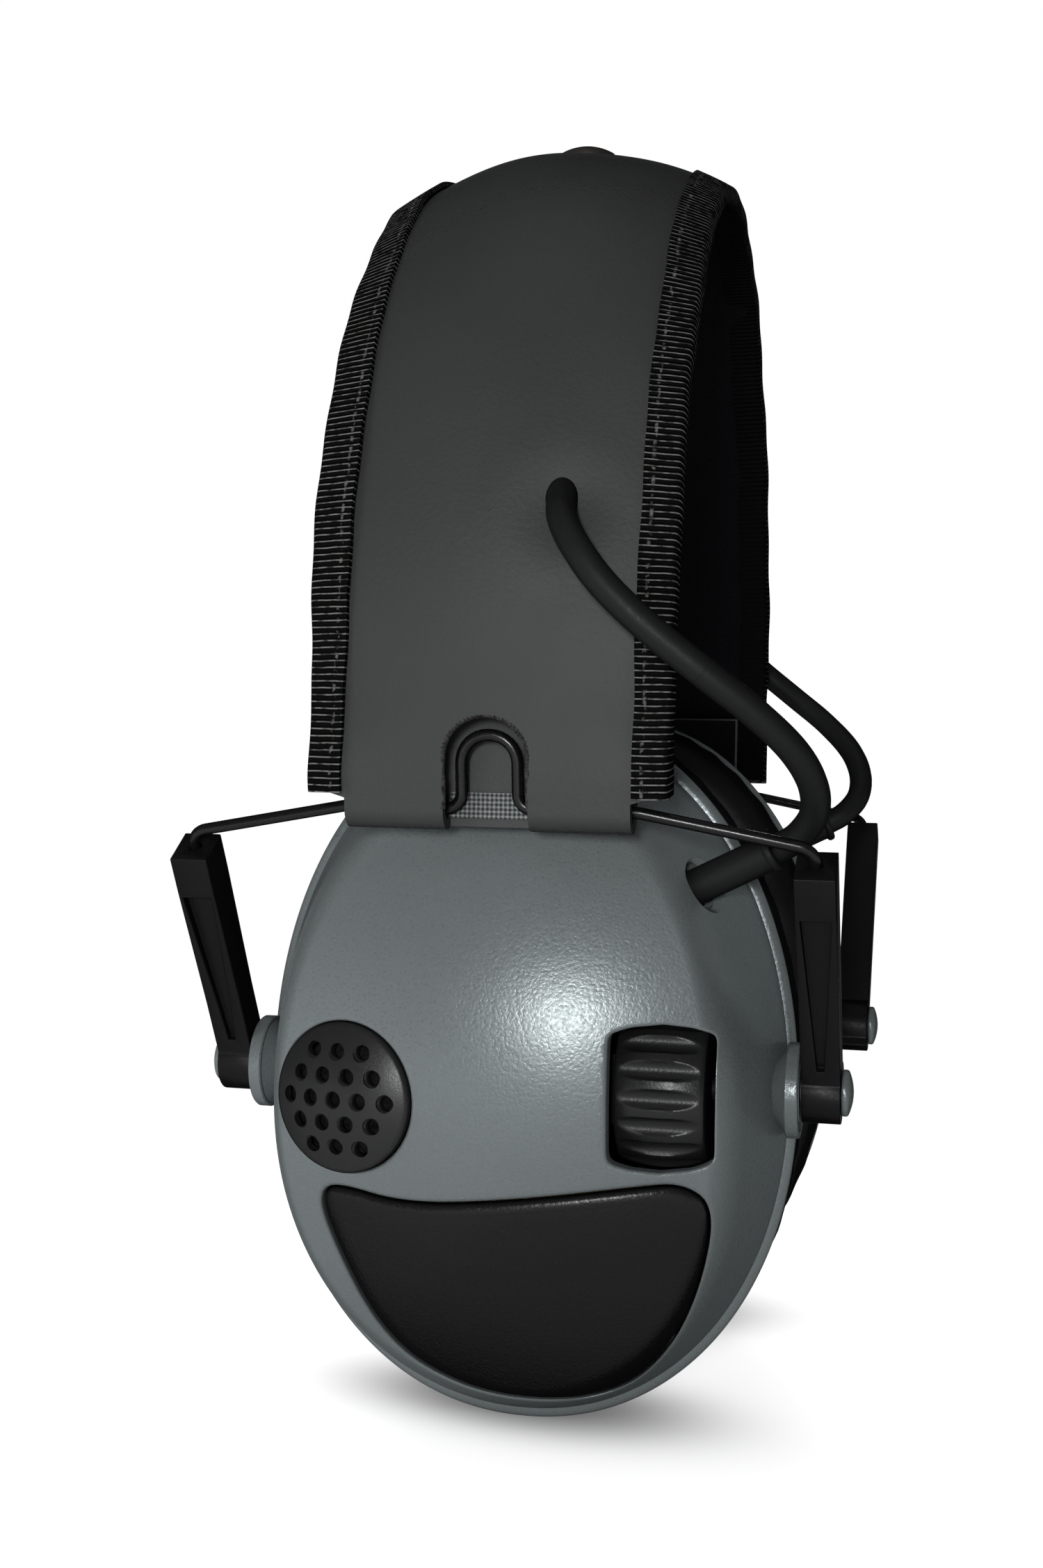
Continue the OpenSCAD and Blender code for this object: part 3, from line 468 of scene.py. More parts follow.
lug_profile = np.array([
    [0.05, -4.6], [3.5, -4.6], [lug_d / 2 - 0.6, -lug_t], [lug_d / 2 - 0.2, -lug_t], [lug_d / 2, 0.2 - lug_t],
    [lug_d / 2, -0.25], [lug_d / 2 - 0.15, -0.05], [6.6, 0.0], [6.05, 0.0], [5.9, -0.4], [4.7, -0.4],
    [4.55, 0.0], [0.05, 0.0],
])
shells = {}
for side in SIDES:
    body = loft("shell_body", shell_grid)
    cutters = [
        mouth_cutter("panel_mouth", grown(panel_loop, panel_gap), 0.7, 5.0),
        mouth_cutter("grille_mouth", seat_loop, 0.4, 20.0),
        ball("scoop", boot_end - scoop_back * boot_dir, scoop_r),
        tube("boot_bore", [boot_end - 24 * boot_dir, boot_end - 12 * boot_dir, boot_end], boot_d / 2 + 0.02),
        tube("boot_slot", [boot_end - 15 * boot_dir, boot_end - 9 * boot_dir, boot_end], boot_d / 2 + 1.1),
    ]
    if side == "left":
        cutters.append(mouth_cutter("window_mouth", window_loop(), 0.5, 8.0))
    cut_away(body, cutters)
    ends = [turned(lug_profile, (k * lug_x, pivot_y, pivot_z), (k, 0, 0)) for k in (1, -1)]
    shell = joined(f"cup_skin_{side}", [body] + [loft("lug", rings) for rings in ends])
    if side == "right":
        to_right(shell)
    smooth_up_to(shell.data, 35)
    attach(shell, f"cup_{side}")
    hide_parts(f"cup_shell_{side}")
    shells[side] = shell
print("shell faces:", {s: len(o.data.polygons) for s, o in shells.items()})

# %% [markdown]
# ## Lower panels
# A black panel fills the lower part of each face: the battery door on the left cup and a plain cover on
# the right one. It is pillowed, with a rolled edge, and follows the face, so its rings are lifted from it.

# %% Lower panels
def panel_ring(inset, lift):
    """Ring of the panel at an inset from its outline and a lift over the face of the cup."""
    share = 1 - inset / (panel_w / 2)
    middle = np.array([panel_x, panel_mid])
    return on_face(middle + share * (panel_loop - middle), lift)


edge_roll = np.radians(np.linspace(0, 90, 9))
edge_r, edge_wide = 1.1, 4.0
pillow, panel_lift, panel_back = 0.55, 0.2, -2.0
panel_reach = panel_w / 2 - 0.2
panel_steps = [(panel_reach, panel_back), (14.0, panel_back), (0.0, panel_back), (0.0, -1.2)]
panel_steps += [(edge_wide * (1 - math.cos(a)), panel_lift + edge_r * (math.sin(a) - 1)) for a in edge_roll]
panel_steps += [
    (edge_wide + t * (panel_reach - edge_wide), panel_lift + pillow * math.sin(t * math.pi / 2) ** 0.8)
    for t in np.linspace(0.04, 1.0, 26)
]
panel_grid = np.stack([panel_ring(inset, lift) for inset, lift in panel_steps])
panels = {}
for side, node, body in (("left", "battery_door", "door"), ("right", "cup_panel_right", "cup_right")):
    panel = loft(f"lower_panel_{side}", for_side(panel_grid, side), 40)
    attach(panel, body)
    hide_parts(node)
    panels[side] = panel
print("panel thickness at its middle:", round(panel_lift + pillow - panel_back, 2), "mm")

# %% [markdown]
# ## Microphone grilles
# A shallow dome with nineteen holes covers each microphone. The dome is turned about an axis square to the
# face, and the holes are cut with pins that flare at the top, which leaves a soft edge round each hole.

# %% Microphone grilles
grille_at = np.array([-grille_x, float(shell_y(-grille_x, grille_z, -1.1)), grille_z])
grille_axes = np.array([
    [math.cos(grille_tilt), -math.sin(grille_tilt), 0.0],
    [0.0, 0.0, 1.0],
    [-math.sin(grille_tilt), -math.cos(grille_tilt), 0.0],
])
grille_edge = 1.1
hole_pitch, hole_r = 3.95, 1.05


def on_grille(profile, at=(0.0, 0.0), steps=96):
    """Rings from a profile of (radius, height) turned about the grille's axis, moved across its plane."""
    return turned(profile, grille_at + at[0] * grille_axes[0] + at[1] * grille_axes[1], grille_axes[2], steps)


def dome_height(r):
    """Height of the dome over its seat: a ball cap with the grille's rise."""
    edge = grille_d / 2
    ball_r = (edge**2 + grille_rise**2) / (2 * grille_rise)
    return grille_edge + grille_rise - ball_r + np.sqrt(ball_r**2 - np.asarray(r) ** 2)


dome_r = np.linspace(0.03, grille_d / 2 - 0.35, 34)
grille_profile = [[r, dome_height(r) - 1.2] for r in dome_r[:-2:3]]
grille_profile += [[grille_d / 2 - 2.0, -2.0], [grille_d / 2 - 0.9, -2.0], [grille_d / 2 - 0.8, 0.0]]
grille_profile += [[grille_d / 2, 0.0], [grille_d / 2, 0.75], [grille_d / 2 - 0.1, 1.0]]
grille_profile += [[r, dome_height(r)] for r in dome_r[::-1]]
mouth_r = hole_r + 0.28
hole_profile = np.array([
    [0.02, -1.5], [hole_r, -1.5], [hole_r, -0.45], [hole_r + 0.06, -0.22], [mouth_r, 0.0], [mouth_r, 3.0],
    [0.02, 3.0],
])
hole_rows = [(row, i - (4 - abs(row)) / 2) for row in range(-2, 3) for i in range(5 - abs(row))]
grilles = {}
for side in SIDES:
    rings = for_side(on_grille(grille_profile), side)
    grille = loft(f"mic_dome_{side}", rings)
    punches = []
    for row, i in hole_rows:
        at = (i * hole_pitch, row * hole_pitch * math.sin(math.radians(60)))
        top = float(dome_height(math.hypot(*at)))
        punches.append(loft("hole", for_side(on_grille(hole_profile + [0.0, top], at, 28), side)))
    cut_away(grille, punches)
    smooth_up_to(grille.data, 40)
    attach(grille, f"cup_{side}")
    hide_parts(f"mic_grille_{side}")
    grilles[side] = grille
print("holes in a grille:", len(hole_rows))

# %% [markdown]
# ## Volume wheel
# The wheel shows a barrel with straight grooves. Where a groove is deeper than the barrel's curve it cuts,
# and towards the ends it runs out, which leaves the lens-shaped lands of the real wheel.

# %% Volume wheel
wheel_r, wheel_w, flutes, barrel_r = 11.5, 12.7, 18, 18.0
wheel_x, axle_y = 23.85, -47.8
groove_r, groove_at = 1.6, wheel_r + 0.65
wheel_round, hub_share = 0.6, 0.14


def wheel_radius(x, turn):
    """Radius of the wheel: the barrel's arc, and below it the nearest groove's round."""
    barrel = wheel_r - barrel_r + np.sqrt(barrel_r**2 - x**2)
    step = 2 * math.pi / flutes
    off = (turn + step / 2) % step - step / 2
    inside = np.maximum(groove_r**2 - (groove_at * np.sin(off)) ** 2, 0.0)
    groove = np.where(inside > 0, groove_at * np.cos(off) - np.sqrt(inside), wheel_r + 1.0)
    return soft_min(barrel, groove, 0.15)


wheel_turn = np.linspace(0, 2 * math.pi, flutes * 28, endpoint=False)[None, :]
across = wheel_w / 2 * np.sin(np.linspace(-math.pi / 2, math.pi / 2, 41))[:, None]
past_end = np.clip((np.abs(across) - wheel_w / 2 + wheel_round) / wheel_round, 0, 1)
round_off = 0.5 * (1 - np.sqrt(1 - past_end**2))
radius = wheel_radius(across, wheel_turn) - round_off
radius = np.concatenate([hub_share * radius[:1], radius, hub_share * radius[-1:]])
across = np.concatenate([across[:1], across, across[-1:]])
wheel_grid = np.stack([
    wheel_x + across + 0 * wheel_turn,
    axle_y + radius * np.cos(wheel_turn),
    window_z + radius * np.sin(wheel_turn),
], axis=-1)
wheel = loft("volume_barrel", wheel_grid, 40)
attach(wheel, "wheel")
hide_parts("volume_wheel")
print("wheel radius from", round(float(radius[5:-5].min()), 2), "to", round(float(radius.max()), 2), "mm")

# %% [markdown]
# ## The arch of the band
# Seen from the front, the band is a tight arc over the crown that meets a wide arc on each side in line.
# Every layer of the band follows this path, at its own distance, so path and normals are worked out once.

# %% Arch path
band_span, crown_z, arch_waist_z, crown_r, side_r = 130.0, 200.0, 111.0, 53.0, 113.0
side_y = side_r - band_span / 2
join_a = math.atan2(crown_z - arch_waist_z - crown_r, side_y)
sleeve_z, sleeve_r = 94.0, 3.0
sleeve_y = -(math.sqrt(side_r**2 - (sleeve_z - arch_waist_z) ** 2) - side_y - sleeve_r)


def arch(low_z, step):
    """Points (y, z), outward normals and runs of the arch, from the left foot over to the right foot."""
    low = math.asin((low_z - arch_waist_z) / side_r)
    count = int(side_r * (join_a - low) / step)
    side_turn = np.linspace(math.pi - low, math.pi - join_a, count, endpoint=False)
    crown_turn = np.linspace(math.pi - join_a, join_a, int(crown_r * (math.pi - 2 * join_a) / step))
    turn = np.concatenate([side_turn, crown_turn, math.pi - side_turn[::-1]])
    on_side = np.concatenate([np.full(count, 1.0), np.zeros(len(crown_turn)), np.full(count, -1.0)])
    normal = np.stack([np.cos(turn), np.sin(turn)], axis=-1)
    centre = np.stack([on_side * side_y, np.where(on_side == 0, crown_z - crown_r, arch_waist_z)], axis=-1)
    points = centre + normal * np.where(on_side == 0, crown_r, side_r)[:, None]
    run = np.concatenate([[0.0], np.cumsum(np.linalg.norm(np.diff(points, axis=0), axis=1))])
    return points, normal, run


def smooth_step(v):
    """A ramp from 0 to 1 that starts and ends level."""
    v = np.clip(v, 0.0, 1.0)
    return v * v * (3 - 2 * v)


arch_run = arch(sleeve_z, 1.0)[2]
print("arch from sleeve to sleeve:", round(arch_run[-1], 1), "mm")

# %% [markdown]
# ## Layers across the band
# Across its width the leather is domed, and the pad below it bulges the other way. The dome grows over
# the crown, where the real leather is drawn tight over the pad, and dies out at the straight sleeves.

# %% Section of the band
face_w, band_w, band_t, leather_t = 40.4, 51.0, 9.0, 1.4
across_r = ((face_w / 2) ** 2 + 2.0**2) / (2 * 2.0)


def droop(x, z):
    """Extra fall of the band's edges over the crown, where the leather is drawn down over the pad."""
    return 1.25 * x**2 / (2 * across_r) * smooth_step((z - 150.0) / 45.0)


def dome(x, z):
    """Fall of the leather below its middle line, at a distance x from it and a height z."""
    return x**2 / (2 * across_r) * smooth_step((z - 97.0) / 14.0) + droop(x, z)


def underside(x, z):
    """Depth of the pad's lower face below the leather's middle line."""
    return band_t - x**2 / (2 * across_r) + 0.85 * droop(x, z) + 0.3 * np.sin(z / 7.0 + x / 11.0)


def in_space(x, points, normals, offset):
    """Points of the band: x along the wire, and an offset outwards from the arch."""
    yz = points[:, None, :] + offset[..., None] * normals[:, None, :]
    return np.stack([x + 0 * offset, yz[..., 0], yz[..., 1]], axis=-1)


print("leather dome at the edge of its face:", round(float(dome(face_w / 2, 130.0)), 2), "mm")

# %% [markdown]
# ## Leather cover
# One strip of leather runs up inside the left sleeve, round the wire, over the whole arch and back into the
# right sleeve. It is a thin closed section carried along that path; the notches are cut afterwards.

# %% Leather path
flap_top_z = 108.3
dimple_x, dimple_z, dimple_r = 9.7, 136.0, 4.6


def leather_path(step=1.2):
    """Path, normals and share of dome of the strip, from the left flap round to the right flap."""
    points, normals, _ = arch(sleeve_z, step)
    down = np.linspace(flap_top_z, sleeve_z, 13)[:-1]
    flap = np.stack([np.full(len(down), sleeve_y + sleeve_r), down], axis=-1)
    turn = np.linspace(0.0, -math.pi, 17)[:-1]
    fold_normals = np.stack([np.cos(turn), np.sin(turn)], axis=-1)
    fold = np.array([sleeve_y, sleeve_z]) + sleeve_r * fold_normals
    start = np.vstack([flap, fold])
    start_normals = np.vstack([np.tile([1.0, 0.0], (len(flap), 1)), fold_normals])
    flip = np.array([-1.0, 1.0])
    path = np.vstack([start, points, start[::-1] * flip])
    turned_out = np.vstack([start_normals, normals, start_normals[::-1] * flip])
    on_arch = np.concatenate([np.zeros(len(start)), np.ones(len(points)), np.zeros(len(start))])
    return path, turned_out, on_arch


def leather_puff(x, y, z):
    """Slight unevenness of the leather, and the dimple where the cord comes out."""
    waves = 0.16 * np.sin(z / 9.0 + x / 13.0) * np.sin(x / 8.0 + 1.1) + 0.1 * np.sin(y / 6.0 + x / 5.0)
    off = ((x - dimple_x) ** 2 + (z - dimple_z) ** 2) / dimple_r**2
    return waves - 0.7 * np.exp(-off) + 0.15 * np.exp(-((np.sqrt(off) - 2.0) ** 2) * 2.0)


path, normals, on_arch = leather_path()
z_row = path[:, 1:2]
half = face_w / 2 + 3.9 * smooth_step((z_row - 95.4) / 0.8) * on_arch[:, None]
x_row = half * np.linspace(-1.0, 1.0, 61)[None, :]
puff = leather_puff(x_row, path[:, :1], z_row) * smooth_step((z_row - 97) / 8)
top = on_arch[:, None] * (puff - dome(x_row, z_row))
outer = in_space(x_row, path, normals, top)
inner = in_space(x_row, path, normals, top - leather_t)[:, ::-1]
leather = loft("leather_cover", np.concatenate([outer, inner], axis=1), 50)
print("leather strip:", round(path_length(path), 1), "mm long")

# %% Notches and holes in the leather
notch_w, notch_top = 12.0, 107.0
notch_back = sleeve_y + sleeve_r - leather_t - 0.1
arc = np.linspace(0, math.pi, 33)
notch_arc = np.stack([notch_w / 2 * np.cos(arc), notch_top - notch_w / 2 + notch_w / 2 * np.sin(arc)], axis=-1)
notch_loop = np.vstack([notch_arc, [[-notch_w / 2, 84.0], [notch_w / 2, 84.0]]])


def prism(name, loop, from_y, to_y):
    """A body with the outline (x, z) between two places along Y."""
    ends = [np.stack([loop[:, 0], np.full(len(loop), y), loop[:, 1]], axis=-1) for y in (from_y, to_y)]
    return loft(name, np.stack(ends))


cutters = []
for k in (1, -1):
    cutters.append(prism("notch", notch_loop, k * notch_back, k * -90.0))
    line = cord_route[:3] * [1, k, 1]
    cutters.append(tube("cord_hole", line, cord_d / 2 + 0.15))
rivet_bore = [[0.05, -9], [2.0, -9], [2.0, 9], [0.05, 9]]
cutters.append(loft("rivet_hole", turned(rivet_bore, (0, 0, crown_z), (0, 0, 1))))
cut_away(leather, cutters)
smooth_up_to(leather.data, 50)
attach(leather, "headband")
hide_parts("headband_cover")
print("leather faces:", len(leather.data.polygons))

# %% [markdown]
# ## Notch edges and backing
# The notch is stamped, so its edge is raw and hairy, and the woven backing of the leather shows at the foot
# of the flap. A thin rough cord round the cut and a small woven strip give both. The inner face of the flap
# is covered by the black lining.

# %% Notch edges
raw_edges, backings, flap_linings = [], [], []
lining_half = face_w / 2 - 0.4
lining_loop = np.array([
    [-lining_half, 96.4], [1.0 - lining_half, 95.4], [lining_half - 1.0, 95.4], [lining_half, 96.4],
    [lining_half, flap_top_z - 0.2], [-lining_half, flap_top_z - 0.2],
])
edge_run = np.vstack([[[notch_w / 2, 94.0]], notch_arc, [[-notch_w / 2, 94.0]]])
edge_run = curve_through(np.column_stack([edge_run[:, 0], 0 * edge_run[:, 0], edge_run[:, 1]]), 6)
edge_front = -(np.sqrt(side_r**2 - (edge_run[:, 2] - arch_waist_z) ** 2) - side_y)
notch_half, weave_low, weave_top = notch_w / 2, 92.6, 96.2
weave_loop = np.array([
    [-notch_half, weave_low], [notch_half, weave_low], [notch_half, weave_top], [-notch_half, weave_top],
])
for side in SIDES:
    lip = edge_run + np.stack([0 * edge_front, edge_front + 0.35, 0 * edge_front], axis=-1)
    thick = 0.36 + 0.07 * np.sin(np.arange(len(lip)) * 2.1) + 0.05 * np.sin(np.arange(len(lip)) * 5.3)
    raw = tube(f"notch_edge_{side}", for_side(lip, side), thick, guide=(0.0, 1.0, 0.0), sides=8)
    back = prism(f"notch_backing_{side}", weave_loop, notch_back + 0.2, notch_back - 0.35)
    lining = prism(f"flap_lining_{side}", lining_loop, sleeve_y + sleeve_r + 0.02, sleeve_y + sleeve_r + 0.5)
    if side == "right":
        for piece in (back, lining):
            to_right(piece)
    for piece, slot in ((raw, "leather"), (back, "leather"), (lining, "lining")):
        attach(piece, "headband")
    raw_edges.append(raw)
    backings.append(back)
    flap_linings.append(lining)
print("notch pieces:", len(raw_edges) + len(backings) + len(flap_linings))

# %% [markdown]
# ## Edge bindings
# A ribbed tape is folded over each edge of the band and sewn down. Its section is a hairpin of even
# thickness round the edge; the run along the band is kept on each point, for the ribs of the material.

# %% Edge bindings
tape_t, binding_z = 0.8, 96.0


def hairpin(z, flare, count=30):
    """Closed section of the folded tape, as distances across and outwards, one row per height.

    The flare is how much further out the tape puffs on the upper part of the band.
    """
    t = np.linspace(0.0, 1.0, count)[None, :]
    z = z[:, None]
    reach = band_w / 2 - tape_t / 2 + flare * smooth_step((z - 100.0) / 30.0)
    straight = face_w / 2 + 0.2
    x = straight + (reach - straight) * np.sin(math.pi * t) ** 0.55
    over = 0.2 - dome(x, z) + tape_t / 2
    under = -underside(x, z) - tape_t / 2 + 0.4
    share = smooth_step((t - 0.32) / 0.36)
    middle = np.stack([x + 0 * over, over * (1 - share) + under * share], axis=-1)
    ahead = unit(np.gradient(middle, axis=1))
    out = np.stack([ahead[..., 1], -ahead[..., 0]], axis=-1)
    return np.concatenate([middle - tape_t / 2 * out, (middle + tape_t / 2 * out)[:, ::-1]], axis=1)


points, normals, run = arch(binding_z, 0.8)
wobble = 0.16 * np.sin(run / 5.3) + 0.12 * np.sin(run / 2.1 + 1.0)
bindings = {}
for name, k, flare in (("front", -1, 1.2), ("rear", 1, 0.2)):
    section = hairpin(points[:, 1], flare)
    x = k * (section[..., 0] + wobble[:, None] * 0.6)
    rings = in_space(x, points, normals, section[..., 1] + 0.5 * wobble[:, None])
    tape = loft(f"binding_tape_{name}", rings, 60)
    mark(tape, "along", np.repeat(run, section.shape[1]))
    mark(tape, "across", section[..., 0])
    leaf = np.linspace(0.0, 1.0, section.shape[1] // 2)
    mark(tape, "fold", np.tile(np.concatenate([leaf, leaf[::-1]]), len(run)))
    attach(tape, "headband")
    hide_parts(f"edge_binding_{name}")
    bindings[name] = tape
print("binding tapes:", len(bindings), "of", round(run[-1]), "mm")

# %% [markdown]
# ## Head pad
# Under the leather lies a soft pad with a black lining. It is thickest along the middle, gathers slightly
# in waves along the band, and thins out to a rounded end above each sleeve.

# %% Head pad
pad_z = 108.5
points, normals, run = arch(pad_z, 1.2)
from_end = np.minimum(run, run[-1] - run)
end_round = np.sqrt(1 - (1 - np.clip(from_end / 9.0, 0.02, 1.0)) ** 2)[:, None]
x_row = (band_w / 2 - 1.6) * np.linspace(-1, 1, 49)[None, :]
z_row = points[:, 1:2]
pad_top = -dome(x_row, z_row) - leather_t - 0.25
gather = 0.45 * np.sin(run / 6.2)[:, None] * np.sin(run / 23.0)[:, None] * (1 - (x_row / 25) ** 2)
pad_low = pad_top - (underside(x_row, z_row) - dome(x_row, z_row) - leather_t + gather) * end_round
pad_low = np.minimum(pad_low, pad_top - 0.3)
rings = np.concatenate([
    in_space(x_row, points, normals, pad_top),
    in_space(x_row, points, normals, pad_low)[:, ::-1],
], axis=1)
head_pad = loft("head_pad", rings, 60)
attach(head_pad, "headband")
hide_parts("headband_pad")
print("pad:", round(run[-1]), "mm long")

# %% [markdown]
# ## Rivet on the crown
# A domed rivet head holds the layers together on top of the band. It is a turned profile.

# %% Crown rivet
rivet_d, rivet_h, cap_r = 9.4, 3.2, 9.0
rivet_r, shank_r = rivet_d / 2, 1.8
cap = np.linspace(rivet_r - 0.12, 0.03, 12)
edge_h = rivet_h - cap_r + math.sqrt(cap_r**2 - rivet_r**2)
rivet_profile = [
    [shank_r, -2.0], [shank_r, 0.0], [rivet_r - 0.2, 0.0], [rivet_r, 0.25], [rivet_r, edge_h - 0.12],
]
rivet_profile += [[r, rivet_h - cap_r + math.sqrt(cap_r**2 - r**2)] for r in cap]
rivet = loft("crown_rivet_head", turned(rivet_profile, (0, 0, crown_z - 0.4), (0, 0, 1)), 40)
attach(rivet, "headband")
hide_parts("crown_rivet")
print("rivet head:", rivet_d, "mm across")

# %% [markdown]
# ## Wire yokes
# Each yoke is one bent wire: a small U in the notch, two runs in the sleeve, and a leg in each arm. Its path
# is a row of straight runs with a round bend at every corner.

# %% Wire yokes
wire_d, loop_w, loop_h, loop_lean, leg_len = 1.7, 8.0, 10.4, math.radians(8), 30.0
arm_len, arm_lean, arm_x = 40.5, math.radians(32), 44.8
arm_dir = np.array([0.0, -math.sin(arm_lean), math.cos(arm_lean)])
loop_dir = np.array([0.0, -math.sin(loop_lean), math.cos(loop_lean)])
wire_corner = np.array([arm_x, pivot_y, pivot_z]) + (arm_len + 2.6) * arm_dir
wire_half = np.array([
    wire_corner - (2.6 + leg_len) * arm_dir,
    wire_corner,
    [face_w / 2 + 0.6, sleeve_y, sleeve_z],
    [loop_w / 2, sleeve_y, sleeve_z],
    np.array([loop_w / 2, sleeve_y, sleeve_z]) + loop_h * loop_dir,
])
wire_points = np.vstack([wire_half, wire_half[::-1] * [-1, 1, 1]])
loop_r = loop_w / 2 - 0.1
wire_bends = [2.8, 6.0, 2.2, loop_r, loop_r, 2.2, 6.0, 2.8]


def rounded(points, radii, steps=9):
    """A path of straight runs whose corners are arcs of the given radii."""
    path = [points[:1]]
    for before, corner, after, r in zip(points, points[1:], points[2:], radii):
        u, v = unit(corner - before), unit(after - corner)
        a = math.acos(float(u @ v))
        centre = corner + unit(v - u) * r / math.cos(a / 2)
        out = unit(corner - r * math.tan(a / 2) * u - centre)
        turn = np.linspace(0, a, steps)[:, None]
        path.append(centre + r * (np.cos(turn) * out + np.sin(turn) * u))
    return np.vstack(path + [points[-1:]])


wires = {}
for side in SIDES:
    wire = tube(f"wire_{side}", for_side(rounded(wire_points, wire_bends), side), wire_d / 2, sides=18)
    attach(wire, f"yoke_{side}")
    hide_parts(f"yoke_wire_{side}")
    wires[side] = wire
print("wire length:", round(path_length(rounded(wire_points, wire_bends))), "mm")

# %% [markdown]
# ## Arms and pins
# The arms and pivot pins are right as the solid model has them, but every real moulding has rounded edges.
# A copy of each mesh is merged and bevelled, and takes the place of the solid one.

# %% Arms and pins
def softened(node, name, body, radius, angle=32.0):
    """Copy of a solid with merged points and rounded edges, which takes the solid's place."""
    mesh = nodes[node].data.copy()
    work = bmesh.new()
    work.from_mesh(mesh)
    bmesh.ops.remove_doubles(work, verts=work.verts, dist=2e-6)
    bmesh.ops.dissolve_limit(work, angle_limit=math.radians(1.5), verts=work.verts, edges=work.edges)
    work.to_mesh(mesh)
    work.free()
    mesh.materials.clear()
    mesh.polygons.foreach_set("use_smooth", np.ones(len(mesh.polygons), bool))
    piece = bpy.data.objects.new(name, mesh)
    bpy.context.scene.collection.objects.link(piece)
    bevel = piece.modifiers.new("edges", "BEVEL")
    bevel.width = radius * MM
    bevel.segments = 3
    bevel.limit_method = "ANGLE"
    bevel.angle_limit = math.radians(angle)
    bevel.harden_normals = True
    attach(piece, body)
    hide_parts(node)
    return piece


arms = [softened(f"arm_{end}_{side}", f"arm_{end}_{side}_moulded", f"arms_{side}", 0.35)
        for side in SIDES for end in ("front", "rear")]
pins = [softened(f"pivot_pins_{side}", f"pivot_pins_{side}_turned", f"cup_{side}", 0.25)
        for side in SIDES]
print("softened copies:", len(arms) + len(pins))

# %% [markdown]
# ## Ear cushions
# A cushion is a ring of foam in soft vinyl, pulled down at its seam and pressed flat where it meets the
# head. The section is a closed curve round the ring; small gathers run along the inner edge.

# %% Ear cushions
base_t, cushion_t, cushion_w, cushion_rows = 2.6, 12.0, 15.0, 240
base_y = -rim_y + base_t
cushion_section = np.array([
    [0.12, 0], [0.03, 0.16], [0, 0.36], [0.02, 0.58], [0.09, 0.79], [0.21, 0.94], [0.36, 1.0],
    [0.5, 1.005], [0.64, 1.0], [0.79, 0.94], [0.91, 0.79], [0.98, 0.58], [1, 0.36], [0.97, 0.16], [0.88, 0],
])
section_line = curve_through(np.column_stack([cushion_section, 0 * cushion_section[:, 0]]), 4)[:, :2]


def cushion_grid():
    """Points of the left cushion: the section at every turn round the egg, with gathers inside."""
    turn = np.linspace(0, 2 * math.pi, cushion_rows, endpoint=False)[:, None]
    inset, rise = section_line[None, :, 0], section_line[None, :, 1]
    side_share = smooth_step((inset - 0.55) / 0.4) * smooth_step((1 - rise) / 0.5)
    outer_share = smooth_step((0.4 - inset) / 0.4) * smooth_step((0.7 - rise) / 0.5)
    gather = 0.3 * side_share * np.sin(34 * turn + 2.0 * np.sin(3 * turn))
    gather = gather + 0.14 * outer_share * np.sin(46 * turn + 1.5 * np.sin(5 * turn))
    x, z = egg(turn, inset=inset * cushion_w + gather)
    return np.stack([x, base_y + rise * cushion_t + 0 * x, z], axis=-1)


cushion_points = cushion_grid()
cushion_faces = grid_faces(cushion_rows, len(section_line))
wrap = np.arange(len(section_line))
last = (cushion_rows - 1) * len(section_line) + wrap
closing = np.stack([last, np.roll(last, -1), np.roll(wrap, -1), wrap], axis=-1)
cushions = {}
for side in SIDES:
    cushion = piece_from(
        f"ear_pad_{side}", for_side(cushion_points, side).reshape(-1, 3),
        np.vstack([cushion_faces, closing]).tolist(), 60,
    )
    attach(cushion, f"cup_{side}")
    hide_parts(f"ear_cushion_{side}")
    cushions[side] = cushion
print("cushion points:", cushion_points.shape)

# %% [markdown]
# ## Foams and boots
# A thin foam sheet closes the ear opening, and a foam plug sits behind each grille. The cord ends in a
# rubber boot with a collar.

# %% Foams and boots
opening_inset, foam_t = 15.2, 3.5
skirt_r = grille_d / 2 - 0.8
foams, boots = [], []
sheet_steps = [
    (0.99, 0.1), (0.5, 0.1), (0.0, 0.1), (0.0, 2.6), (0.015, 3.1), (0.05, 3.4), (0.2, 3.7), (0.5, 3.9),
    (0.99, 4.0),
]
share, height = np.array(sheet_steps).T[:, :, None]
x, z = egg(turns[None, ::2], inset=opening_inset)
x, z = x * (1 - share), waist_z + (z - waist_z) * (1 - share)
sheet_grid = np.stack([x, -rim_y + height * foam_t / 4.0 + 0 * x, z], axis=-1)
plug_r = skirt_r - 1.5
plug_profile = [
    [0.05, -5.0], [plug_r, -5.0], [plug_r, 0.0], [plug_r - 0.4, 0.35], [7.0, 0.8], [4.0, 1.3], [1.5, 1.55],
    [0.05, 1.6],
]
boot_len, collar_r, collar_t = 16.0, 3.2, 1.1
boot_r = boot_d / 2
boot_profile = [
    [0.05, -boot_len], [boot_r, -boot_len], [boot_r, -4.0], [boot_r, -2.0], [boot_r + 0.05, -collar_t - 0.15],
    [collar_r - 0.2, -collar_t], [collar_r, 0.25 - collar_t], [collar_r, -0.25], [collar_r - 0.2, 0.0],
    [0.05, 0.0],
]
boot_turned = turned(boot_profile, boot_end, boot_dir, 40)
boot_rings = np.concatenate([
    boot_turned[1:2] + t * (boot_turned[2:3] - boot_turned[1:2]) for t in np.linspace(0, 0.95, 10)
])
boot_rings = np.concatenate([boot_turned[:1], boot_rings, boot_turned[2:]])
